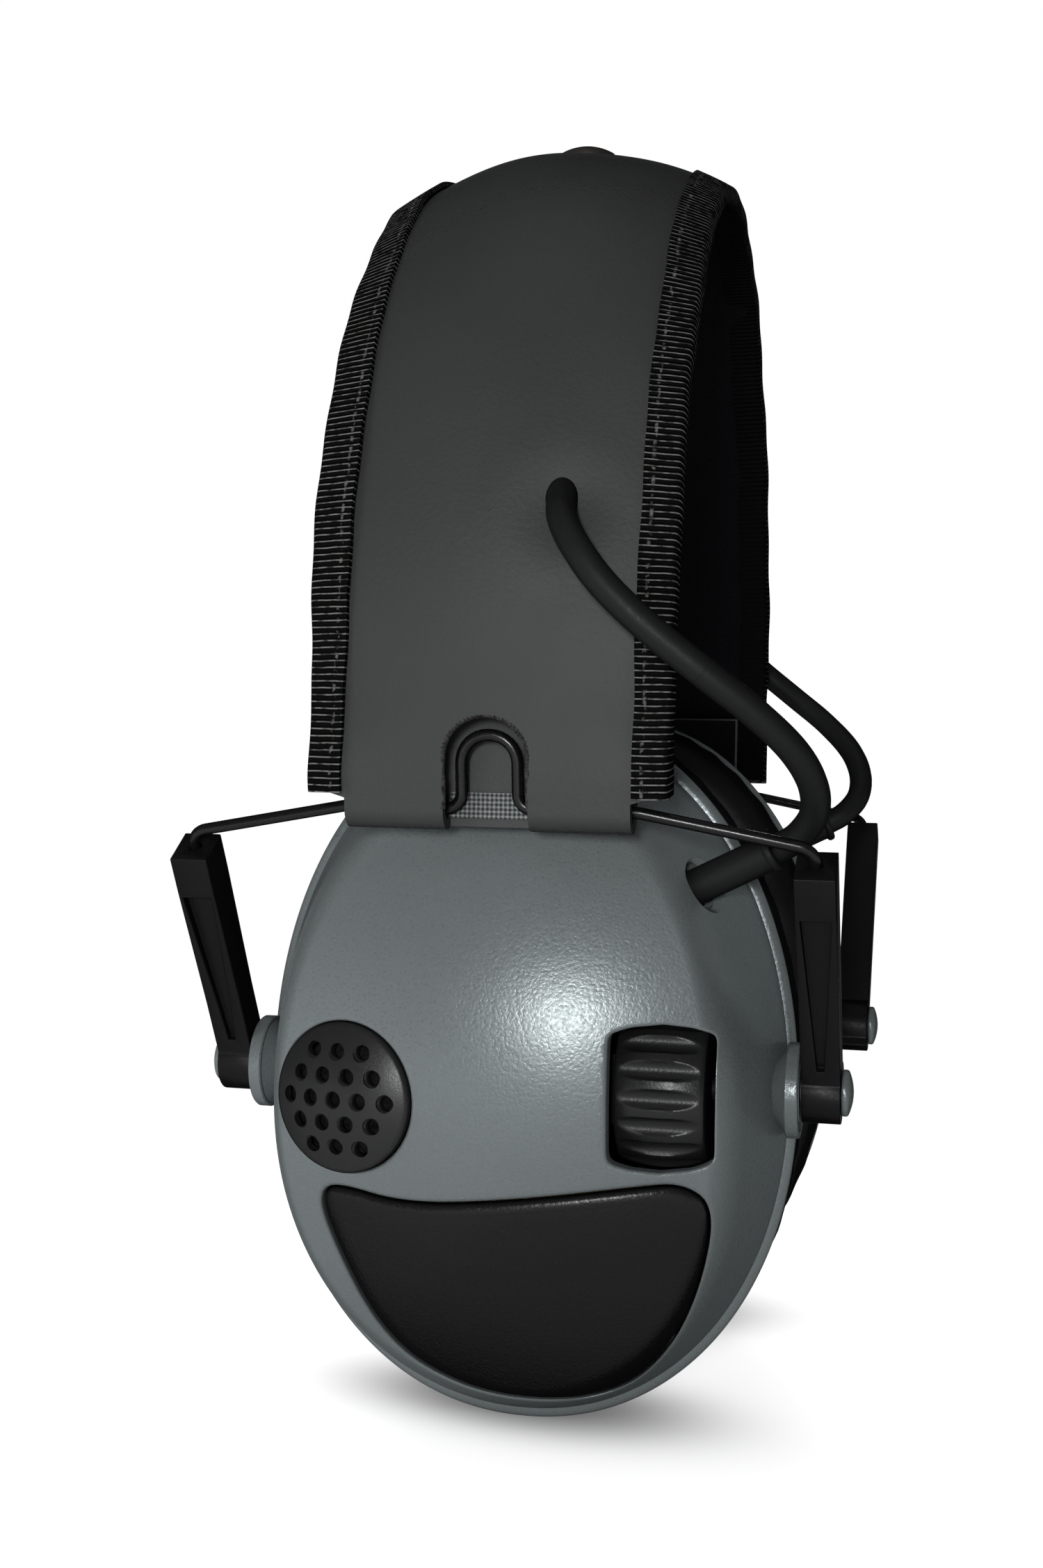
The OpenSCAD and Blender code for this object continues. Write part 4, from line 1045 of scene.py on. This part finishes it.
for side in SIDES:
    sheet = loft(f"ear_foam_sheet_{side}", for_side(sheet_grid, side), 50)
    plug = loft(f"mic_foam_plug_{side}", for_side(on_grille(plug_profile), side), 50)
    for piece, node in ((sheet, "ear_foam"), (plug, "mic_foam")):
        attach(piece, f"cup_{side}")
        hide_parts(f"{node}_{side}")
        foams.append(piece)
    boot = loft(f"boot_{side}", for_side(boot_rings, side), 50)
    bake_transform(boot)
    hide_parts(f"cord_boot_{side}")
    boots.append(boot)
print("foams:", len(foams), "boots:", len(boots))

# %% [markdown]
# ## Shared effects for the finishes
# Moulded plastic, leather and rubber all have a fine grain and a slow change of tone. Two node groups give
# these from the object's own coordinates, with the size in millimetres as an input.

# %% Effect groups
def new_group(name, inputs, outputs):
    """A shader node group with float inputs (name, default) and float outputs."""
    group = bpy.data.node_groups.new(name, "ShaderNodeTree")
    for label, default in inputs:
        socket = group.interface.new_socket(label, in_out="INPUT", socket_type="NodeSocketFloat")
        socket.default_value = default
    for label in outputs:
        group.interface.new_socket(label, in_out="OUTPUT", socket_type="NodeSocketFloat")
    entry = group.nodes.new("NodeGroupInput")
    leave = group.nodes.new("NodeGroupOutput")
    return group, entry, leave


def add_math(tree, operation, a, b=None):
    """A math node whose inputs are sockets or numbers; gives back its output."""
    node = tree.nodes.new("ShaderNodeMath")
    node.operation = operation
    for slot_number, value in enumerate((a, b)):
        if value is None:
            continue
        if isinstance(value, (int, float)):
            node.inputs[slot_number].default_value = value
        else:
            tree.links.new(value, node.inputs[slot_number])
    return node.outputs[0]


def add_noise(tree, scale, detail, roughness=0.5):
    """Noise on the object's coordinates; the scale is a socket or a number per metre."""
    where = tree.nodes.new("ShaderNodeTexCoord")
    noise = tree.nodes.new("ShaderNodeTexNoise")
    noise.inputs["Detail"].default_value = detail
    noise.inputs["Roughness"].default_value = roughness
    tree.links.new(where.outputs["Object"], noise.inputs["Vector"])
    if isinstance(scale, (int, float)):
        noise.inputs["Scale"].default_value = scale
    else:
        tree.links.new(scale, noise.inputs["Scale"])
    return noise.outputs["Fac"]


grain_group, entry, leave = new_group("fine grain", [("Size mm", 0.5)], ["Height"])
per_metre = add_math(grain_group, "DIVIDE", 1000.0, entry.outputs["Size mm"])
grain_group.links.new(add_noise(grain_group, per_metre, 2.0), leave.inputs["Height"])

tone_group, entry, leave = new_group("slow tone", [("Size mm", 40.0)], ["Tone"])
per_metre = add_math(tone_group, "DIVIDE", 1000.0, entry.outputs["Size mm"])
tone_group.links.new(add_noise(tone_group, per_metre, 4.0, 0.6), leave.inputs["Tone"])
print("groups:", [g.name for g in bpy.data.node_groups])

# %% Finish helper
def new_finish(name):
    """An empty material with its node tree and its Principled shader."""
    material = bpy.data.materials.new(name)
    material.use_nodes = True
    tree = material.node_tree
    return material, tree, tree.nodes["Principled BSDF"]


def add_group(tree, group, size):
    """A shared effect placed in a material with its own size in millimetres."""
    node = tree.nodes.new("ShaderNodeGroup")
    node.node_tree = group
    node.inputs["Size mm"].default_value = size
    return node.outputs


def add_mix(tree, share, dark, light):
    """Colour that goes from dark to light with a share from 0 to 1."""
    mix = tree.nodes.new("ShaderNodeMix")
    mix.data_type = "RGBA"
    tree.links.new(share, mix.inputs["Factor"])
    for label, colour in (("A", dark), ("B", light)):
        socket = [s for s in mix.inputs if s.name == label and s.type == "RGBA"][0]
        if isinstance(colour, tuple):
            socket.default_value = (*colour, 1.0)
        else:
            tree.links.new(colour, socket)
    return [s for s in mix.outputs if s.type == "RGBA"][0]


def add_ramp(tree, value, low, high, to_low=0.0, to_high=1.0):
    """A value carried from one range to another and held at its ends."""
    ramp = tree.nodes.new("ShaderNodeMapRange")
    ramp.inputs["From Min"].default_value = low
    ramp.inputs["From Max"].default_value = high
    ramp.inputs["To Min"].default_value = to_low
    ramp.inputs["To Max"].default_value = to_high
    tree.links.new(value, ramp.inputs["Value"])
    return ramp.outputs["Result"]


def add_bump(tree, shader, height, distance_mm, strength=1.0, before=None):
    """A bump of a real depth in millimetres on the shader's normal."""
    bump = tree.nodes.new("ShaderNodeBump")
    bump.inputs["Strength"].default_value = strength
    bump.inputs["Distance"].default_value = distance_mm * MM
    tree.links.new(height, bump.inputs["Height"])
    if before is not None:
        tree.links.new(before, bump.inputs["Normal"])
    tree.links.new(bump.outputs["Normal"], shader.inputs["Normal"])
    return bump.outputs["Normal"]


def set_gloss(shader, colour, gloss):
    """Lets the shader mirror a small share of light straight back, with no bright rim.

    It is part metal, with a black edge tint: share = gloss / (colour + gloss), base = colour + gloss.
    """
    shader.inputs["Metallic"].default_value = gloss / (sum(colour) / 3 + gloss)
    shader.inputs["Specular Tint"].default_value = (0.0, 0.0, 0.0, 1.0)
    shader.inputs["Specular IOR Level"].default_value = 0.0


def grained(name, dark, light, rough, grain_mm, depth_mm, gloss=0.008, tone_mm=30.0, metal=False):
    """A finish with slow tone, changing gloss and a fine grain."""
    material, tree, shader = new_finish(name)
    tone = add_group(tree, tone_group, tone_mm)["Tone"]
    fine = add_group(tree, grain_group, grain_mm)
    if metal:
        shader.inputs["Metallic"].default_value = 1.0
    else:
        set_gloss(shader, light, gloss)
        dark, light = (tuple(c + gloss for c in colour) for colour in (dark, light))
    tree.links.new(add_mix(tree, add_ramp(tree, tone, 0.3, 0.7), dark, light), shader.inputs["Base Color"])
    tree.links.new(add_ramp(tree, fine["Height"], 0.3, 0.7, *rough), shader.inputs["Roughness"])
    add_bump(tree, shader, fine["Height"], depth_mm)
    return material


def dress(pieces, material):
    """Gives pieces or solids one material."""
    for piece in pieces:
        piece.data.materials.clear()
        piece.data.materials.append(material)


def solids(*names):
    """Solids of the frame by name, on both sides where the name has two."""
    return [nodes[n] for name in names for n in (name, f"{name}_left", f"{name}_right") if n in nodes]


print("finish helpers ready")

# %% [markdown]
# ## Finishes of the cup
# The cup is slate grey plastic with a fine sparkle, and its panel, grille and wheel are black. The grain of
# the cup catches the light as specks, so it is a real bump, not a painted pattern.

# %% Finishes of the cup
cup_plastic = grained(
    "slate cup plastic", (0.110, 0.132, 0.135), (0.120, 0.144, 0.147), (0.25, 0.38), 0.46, 0.045, gloss=0.075
)
panel_plastic = grained(
    "black panel plastic", (0.004, 0.004, 0.0045), (0.006, 0.006, 0.0065), (0.24, 0.36), 0.5, 0.05, gloss=0.026
)
wheel_plastic = grained(
    "black wheel plastic", (0.008, 0.0085, 0.009), (0.011, 0.0115, 0.012), (0.28, 0.4), 0.35, 0.03, gloss=0.03
)
grille_paint = grained(
    "black grille paint", (0.010, 0.0105, 0.011), (0.013, 0.0135, 0.014), (0.30, 0.42), 0.3, 0.015, gloss=0.035
)
dress(list(shells.values()) + pins, cup_plastic)
dress(list(panels.values()), panel_plastic)
dress([wheel], wheel_plastic)
dress(list(grilles.values()), grille_paint)
print("cup finishes:", cup_plastic.name, panel_plastic.name, wheel_plastic.name, grille_paint.name)

# %% [markdown]
# ## Leather, tape and lining
# The leather has a fine pebble and soft satin gloss. The tape's ribs follow its own run, with pale
# broken threads between them, and the lining is plain black cloth.

# %% Leather
def add_attribute(tree, name):
    """A number that was kept on the piece's points."""
    node = tree.nodes.new("ShaderNodeAttribute")
    node.attribute_name = name
    return node.outputs["Fac"]


def add_pebble(tree, size_mm):
    """Rounded cells of one size: the distance to the nearest seed of a cell pattern."""
    where = tree.nodes.new("ShaderNodeTexCoord")
    cells = tree.nodes.new("ShaderNodeTexVoronoi")
    cells.inputs["Scale"].default_value = 1.0 / (size_mm * MM)
    tree.links.new(where.outputs["Object"], cells.inputs["Vector"])
    return cells.outputs["Distance"]


def leather_finish(name, dark, light, rough, pebble_mm, depth_mm, gloss):
    """Leather or vinyl: slow tone, pebbled bump with fine creases, satin gloss."""
    material, tree, shader = new_finish(name)
    tone = add_group(tree, tone_group, 26.0)["Tone"]
    fine = add_group(tree, grain_group, 0.35)
    set_gloss(shader, light, gloss)
    dark, light = (tuple(c + gloss for c in colour) for colour in (dark, light))
    tree.links.new(add_mix(tree, add_ramp(tree, tone, 0.25, 0.75), dark, light), shader.inputs["Base Color"])
    tree.links.new(add_ramp(tree, tone, 0.3, 0.7, *rough), shader.inputs["Roughness"])
    cells = add_math(tree, "MULTIPLY", add_pebble(tree, pebble_mm), -0.6)
    height = add_math(tree, "ADD", cells, add_math(tree, "MULTIPLY", fine["Height"], 0.6))
    add_bump(tree, shader, height, depth_mm)
    return material


leather_black = leather_finish(
    "charcoal leather", (0.016, 0.018, 0.018), (0.024, 0.026, 0.026), (0.6, 0.7), 0.8, 0.05, 0.055
)
cushion_vinyl = leather_finish(
    "black vinyl", (0.004, 0.004, 0.0045), (0.007, 0.007, 0.0075), (0.38, 0.5), 1.1, 0.04, 0.016
)
dress([leather], leather_black)
dress(list(cushions.values()), cushion_vinyl)
print("leathers:", leather_black.name, cushion_vinyl.name)

# %% Tape, lining and backing
rib_mm, seam_off = 0.96, 1.6


def tape_finish():
    """Ribbed tape: ribs along its run with pale threads in the valleys and a seam along the outer leaf.

    The threads show on the outer leaf and on the fold, and the inner leaf is kept plain black as painted shade.
    """
    material, tree, shader = new_finish("ribbed tape")
    along = add_attribute(tree, "along")
    shift = add_math(tree, "MULTIPLY", add_noise(tree, 300.0, 2.0), 1.8)
    phase = add_math(tree, "ADD", add_math(tree, "MULTIPLY", along, 2 * math.pi / rib_mm), shift)
    wave = add_math(tree, "SINE", phase)
    thread = add_ramp(tree, wave, 0.7, 0.98)
    broken = add_ramp(tree, add_noise(tree, 800.0, 3.0), 0.36, 0.56, 0.15, 1.0)
    off_seam = add_math(tree, "SUBTRACT", add_attribute(tree, "across"), face_w / 2 + seam_off)
    seam = add_ramp(tree, add_math(tree, "ABSOLUTE", off_seam), 0.1, 0.3, 0.7, 0.0)
    sewn = add_math(tree, "MULTIPLY", seam, add_ramp(tree, add_noise(tree, 1100.0, 2.0), 0.5, 0.62))
    pale = add_math(tree, "MAXIMUM", add_math(tree, "MULTIPLY", thread, broken), sewn)
    # Painted shade: the pale threads are left off the inner leaf, where little light falls.
    outside = add_ramp(tree, add_attribute(tree, "fold"), 0.5, 0.66, 1.0, 0.0)
    pale_with_painted_shade = add_math(tree, "MULTIPLY", pale, outside)
    tree.links.new(add_mix(tree, pale_with_painted_shade, (0.005, 0.005, 0.005), (0.2, 0.2, 0.195)), shader.inputs["Base Color"])
    add_bump(tree, shader, wave, 0.16)
    shader.inputs["Roughness"].default_value = 0.75
    shader.inputs["Specular IOR Level"].default_value = 0.0
    return material


def woven_finish(name, dark, light, pitch_mm, depth_mm):
    """Plain weave: two crossing waves on X and Z, one over the other in turn."""
    material, tree, shader = new_finish(name)
    where = tree.nodes.new("ShaderNodeTexCoord")
    split = tree.nodes.new("ShaderNodeSeparateXYZ")
    tree.links.new(where.outputs["Object"], split.inputs[0])
    turns_per_m = 2 * math.pi / (pitch_mm * MM)
    rising = add_math(tree, "ADD", split.outputs["X"], split.outputs["Z"])
    falling = add_math(tree, "SUBTRACT", split.outputs["X"], split.outputs["Z"])
    warp = add_math(tree, "SINE", add_math(tree, "MULTIPLY", rising, turns_per_m))
    weft = add_math(tree, "SINE", add_math(tree, "MULTIPLY", falling, turns_per_m))
    weave = add_math(tree, "MULTIPLY", warp, weft)
    rough_up = add_math(tree, "ADD", weave, add_noise(tree, 2500.0, 2.0))
    tree.links.new(add_mix(tree, add_ramp(tree, rough_up, 0.0, 1.2), dark, light), shader.inputs["Base Color"])
    add_bump(tree, shader, rough_up, depth_mm)
    shader.inputs["Roughness"].default_value = 0.85
    shader.inputs["Specular IOR Level"].default_value = 0.0
    return material


tape_black = tape_finish()
lining_black = woven_finish("black lining", (0.004, 0.004, 0.005), (0.008, 0.008, 0.009), 0.5, 0.03)
backing_grey = woven_finish("woven backing", (0.05, 0.055, 0.055), (0.3, 0.32, 0.32), 1.3, 0.15)
raw_leather = grained(
    "raw leather edge", (0.012, 0.012, 0.012), (0.08, 0.078, 0.075), (0.7, 0.9), 0.3, 0.2,
    gloss=0.002, tone_mm=0.8,
)
dress(list(bindings.values()), tape_black)
dress([head_pad] + flap_linings, lining_black)
dress(backings, backing_grey)
dress(raw_edges, raw_leather)
print("cloths:", tape_black.name, lining_black.name, backing_grey.name, raw_leather.name)

# %% [markdown]
# ## Rubber, wire and the other parts
# The cord is matte rubber, the wire is lacquered, the arms are satin moulding, and the pieces inside the cup
# get the plain finishes of their kind.

# %% Other finishes
rubber = grained(
    "matte rubber", (0.007, 0.0075, 0.0075), (0.010, 0.011, 0.011), (0.46, 0.58), 0.4, 0.02, gloss=0.016
)
wire_paint = grained(
    "wire lacquer", (0.003, 0.003, 0.003), (0.005, 0.005, 0.005), (0.2, 0.3), 0.6, 0.006, gloss=0.03
)
arm_plastic = grained(
    "black arm plastic", (0.003, 0.003, 0.0035), (0.006, 0.006, 0.0065), (0.36, 0.48), 0.5, 0.01, gloss=0.016
)
rivet_paint = grained(
    "dark rivet", (0.02, 0.016, 0.013), (0.03, 0.024, 0.02), (0.35, 0.5), 0.5, 0.01, gloss=0.03
)
foam_black = grained(
    "open foam", (0.004, 0.004, 0.004), (0.016, 0.016, 0.016), (0.85, 1.0), 0.45, 0.3, gloss=0.001, tone_mm=1.0
)
dark_plastic = grained(
    "matte dark plastic", (0.008, 0.008, 0.009), (0.012, 0.012, 0.013), (0.5, 0.62), 0.5, 0.015
)
steel = grained("bare steel", (0.4, 0.41, 0.42), (0.5, 0.51, 0.52), (0.28, 0.4), 0.4, 0.006, metal=True)
driver_grey = grained(
    "driver grey", (0.12, 0.12, 0.125), (0.16, 0.16, 0.165), (0.35, 0.5), 0.4, 0.01, gloss=0.05
)
board_green = grained(
    "board green", (0.012, 0.08, 0.035), (0.018, 0.1, 0.045), (0.3, 0.45), 0.6, 0.01, gloss=0.02
)
cell_wrap = grained("cell wrap", (0.36, 0.24, 0.06), (0.45, 0.3, 0.08), (0.2, 0.3), 0.6, 0.005, gloss=0.05)
dress(cords + boots, rubber)
dress(list(wires.values()), wire_paint)
dress(arms, arm_plastic)
dress([rivet], rivet_paint)
dress(foams, foam_black)
dress(solids("base_plate", "baffle", "battery_tray", "volume_pot"), dark_plastic)
dress(solids("base_screws", "battery_contacts", "band_spring"), steel)
dress(solids("driver", "mic_capsule"), driver_grey)
dress(solids("circuit_board"), board_green)
dress(solids("battery_cells"), cell_wrap)
print("materials:", len(bpy.data.materials))

# %% [markdown]
# ## Floor and light
# The photograph has a white ground with a soft shadow and one light near the camera. The floor is white to
# the camera, so that it melts into the background, and a painted shadow darkens it under the two cups. Rays off
# gloss see the white ground only behind the object, and a dim room elsewhere. A soft lamp on the left evens out
# the light of the key lamp, and a weak lamp above and one behind show the other sides.

# %% Floor and light
bpy.context.scene.view_settings.view_transform = "Standard"


room_level, dim_room, floor_mirrored = 0.07, 0.06, 0.3


def add_background(tree, share):
    """1 for rays from the camera or through glass, and a share for rays off gloss."""
    path_node = tree.nodes.new("ShaderNodeLightPath")
    off_gloss = add_math(tree, "MULTIPLY", path_node.outputs["Is Glossy Ray"], share)
    seen = add_math(tree, "MAXIMUM", path_node.outputs["Is Camera Ray"], off_gloss)
    return add_math(tree, "MAXIMUM", seen, path_node.outputs["Is Transmission Ray"])


world = bpy.data.worlds.new("white room")
world.use_nodes = True
bpy.context.scene.world = world
tree = world.node_tree
ground = tree.nodes["Background"]
ground.inputs["Color"].default_value = (1.0, 1.0, 1.0, 1.0)
where = tree.nodes.new("ShaderNodeTexCoord")
split = tree.nodes.new("ShaderNodeSeparateXYZ")
tree.links.new(where.outputs["Generated"], split.inputs[0])
backdrop = add_ramp(tree, split.outputs["Y"], 0.4, 0.8, dim_room, 1.0)
seen = add_background(tree, backdrop)
tree.links.new(add_ramp(tree, seen, 0.0, 1.0, room_level, 1.0), ground.inputs["Strength"])

floor_half = 1500.0
floor = piece_from(
    "floor", [[-floor_half, -floor_half, 0], [floor_half, -floor_half, 0], [floor_half, floor_half, 0],
              [-floor_half, floor_half, 0]], [[0, 1, 2, 3]],
)
floor_white_painted_shadow, tree, shader = new_finish("white floor")
shader.inputs["Roughness"].default_value = 1.0
shader.inputs["Specular IOR Level"].default_value = 0.0
shader.inputs["Emission Color"].default_value = (1.0, 1.0, 1.0, 1.0)
where = tree.nodes.new("ShaderNodeTexCoord")
split = tree.nodes.new("ShaderNodeSeparateXYZ")
tree.links.new(where.outputs["Object"], split.inputs[0])
seen = add_background(tree, floor_mirrored)


def add_turned(tree, a, b, turn, reach_mm):
    """((a cos turn + b sin turn) / reach) squared, for a and b in metres."""
    ahead = add_math(tree, "MULTIPLY", a, math.cos(turn) / (reach_mm * MM))
    aside = add_math(tree, "MULTIPLY", b, math.sin(turn) / (reach_mm * MM))
    total = add_math(tree, "ADD", ahead, aside)
    return add_math(tree, "MULTIPLY", total, total)


# Painted shadow: a soft, turned oval under each cup stands in for the shadow that the cups cast on the floor.
painted_shadow_at, painted_shadow_turn, painted_shadow_long, painted_shadow_short, painted_shadow_depth = (-0.7, 25.3), 0.2, 22.4, 11.8, 2.4
off_x = add_math(tree, "SUBTRACT", split.outputs["X"], painted_shadow_at[0] * MM)
off_y = add_math(tree, "SUBTRACT", add_math(tree, "ABSOLUTE", split.outputs["Y"]), painted_shadow_at[1] * MM)
reach = add_math(
    tree, "ADD", add_turned(tree, off_x, off_y, painted_shadow_turn, painted_shadow_long),
    add_turned(tree, off_x, off_y, painted_shadow_turn + math.pi / 2, painted_shadow_short),
)
bell = add_math(tree, "EXPONENT", add_math(tree, "MULTIPLY", reach, -1.0))
left_over = add_math(tree, "EXPONENT", add_math(tree, "MULTIPLY", bell, -painted_shadow_depth))
painted_shadow = add_math(tree, "SUBTRACT", 1.0, left_over)
# The painted shadow darkens the floor's base colour and lowers its white glow.
tree.links.new(add_mix(tree, painted_shadow, (0.9, 0.9, 0.9), (0.1, 0.1, 0.1)), shader.inputs["Base Color"])
glow_beside_painted_shadow = add_ramp(tree, painted_shadow, 0.0, 1.0, 0.8, 0.02)
tree.links.new(add_math(tree, "MULTIPLY", seen, glow_beside_painted_shadow), shader.inputs["Emission Strength"])
white = tree.nodes.new("ShaderNodeEmission")
fade = tree.nodes.new("ShaderNodeMixShader")
distance = tree.nodes.new("ShaderNodeVectorMath")
distance.operation = "LENGTH"
tree.links.new(where.outputs["Object"], distance.inputs[0])
fade_from, fade_to = 100.0, 220.0
far = add_ramp(tree, distance.outputs["Value"], fade_from * MM, fade_to * MM)
tree.links.new(add_math(tree, "MULTIPLY", seen, far), fade.inputs["Fac"])
tree.links.new(shader.outputs["BSDF"], fade.inputs[1])
tree.links.new(white.outputs["Emission"], fade.inputs[2])
tree.links.new(fade.outputs["Shader"], tree.nodes["Material Output"].inputs["Surface"])
dress([floor], floor_white_painted_shadow)


def area_lamp(name, at, towards, size_mm, power):
    """A square soft lamp at a point, turned towards another."""
    data = bpy.data.lights.new(name, "AREA")
    data.size = size_mm * MM
    data.energy = power
    lamp = bpy.data.objects.new(name, data)
    bpy.context.scene.collection.objects.link(lamp)
    away = unit(np.asarray(at, float) - np.asarray(towards, float))
    across_axis = unit(np.cross([0.0, 0.0, 1.0], away))
    turn = np.eye(4)
    upright = np.cross(away, across_axis)
    turn[:3, :4] = np.stack([across_axis, upright, away, np.asarray(at, float) * MM], axis=1)
    lamp.matrix_world = Matrix(turn.tolist())
    return lamp


area_lamp("key lamp", (70, -900, 200), (0, -40, 90), 130, 3.8)
side_lamp = area_lamp("side lamp", (-650, -650, 90), (0, -40, 90), 400, 3.7)
side_lamp.visible_glossy = False
area_lamp("top lamp", (-100, -100, 1300), (0, 0, 60), 900, 0.8)
area_lamp("back lamp", (-220, 900, 320), (0, 40, 90), 400, 5.5)
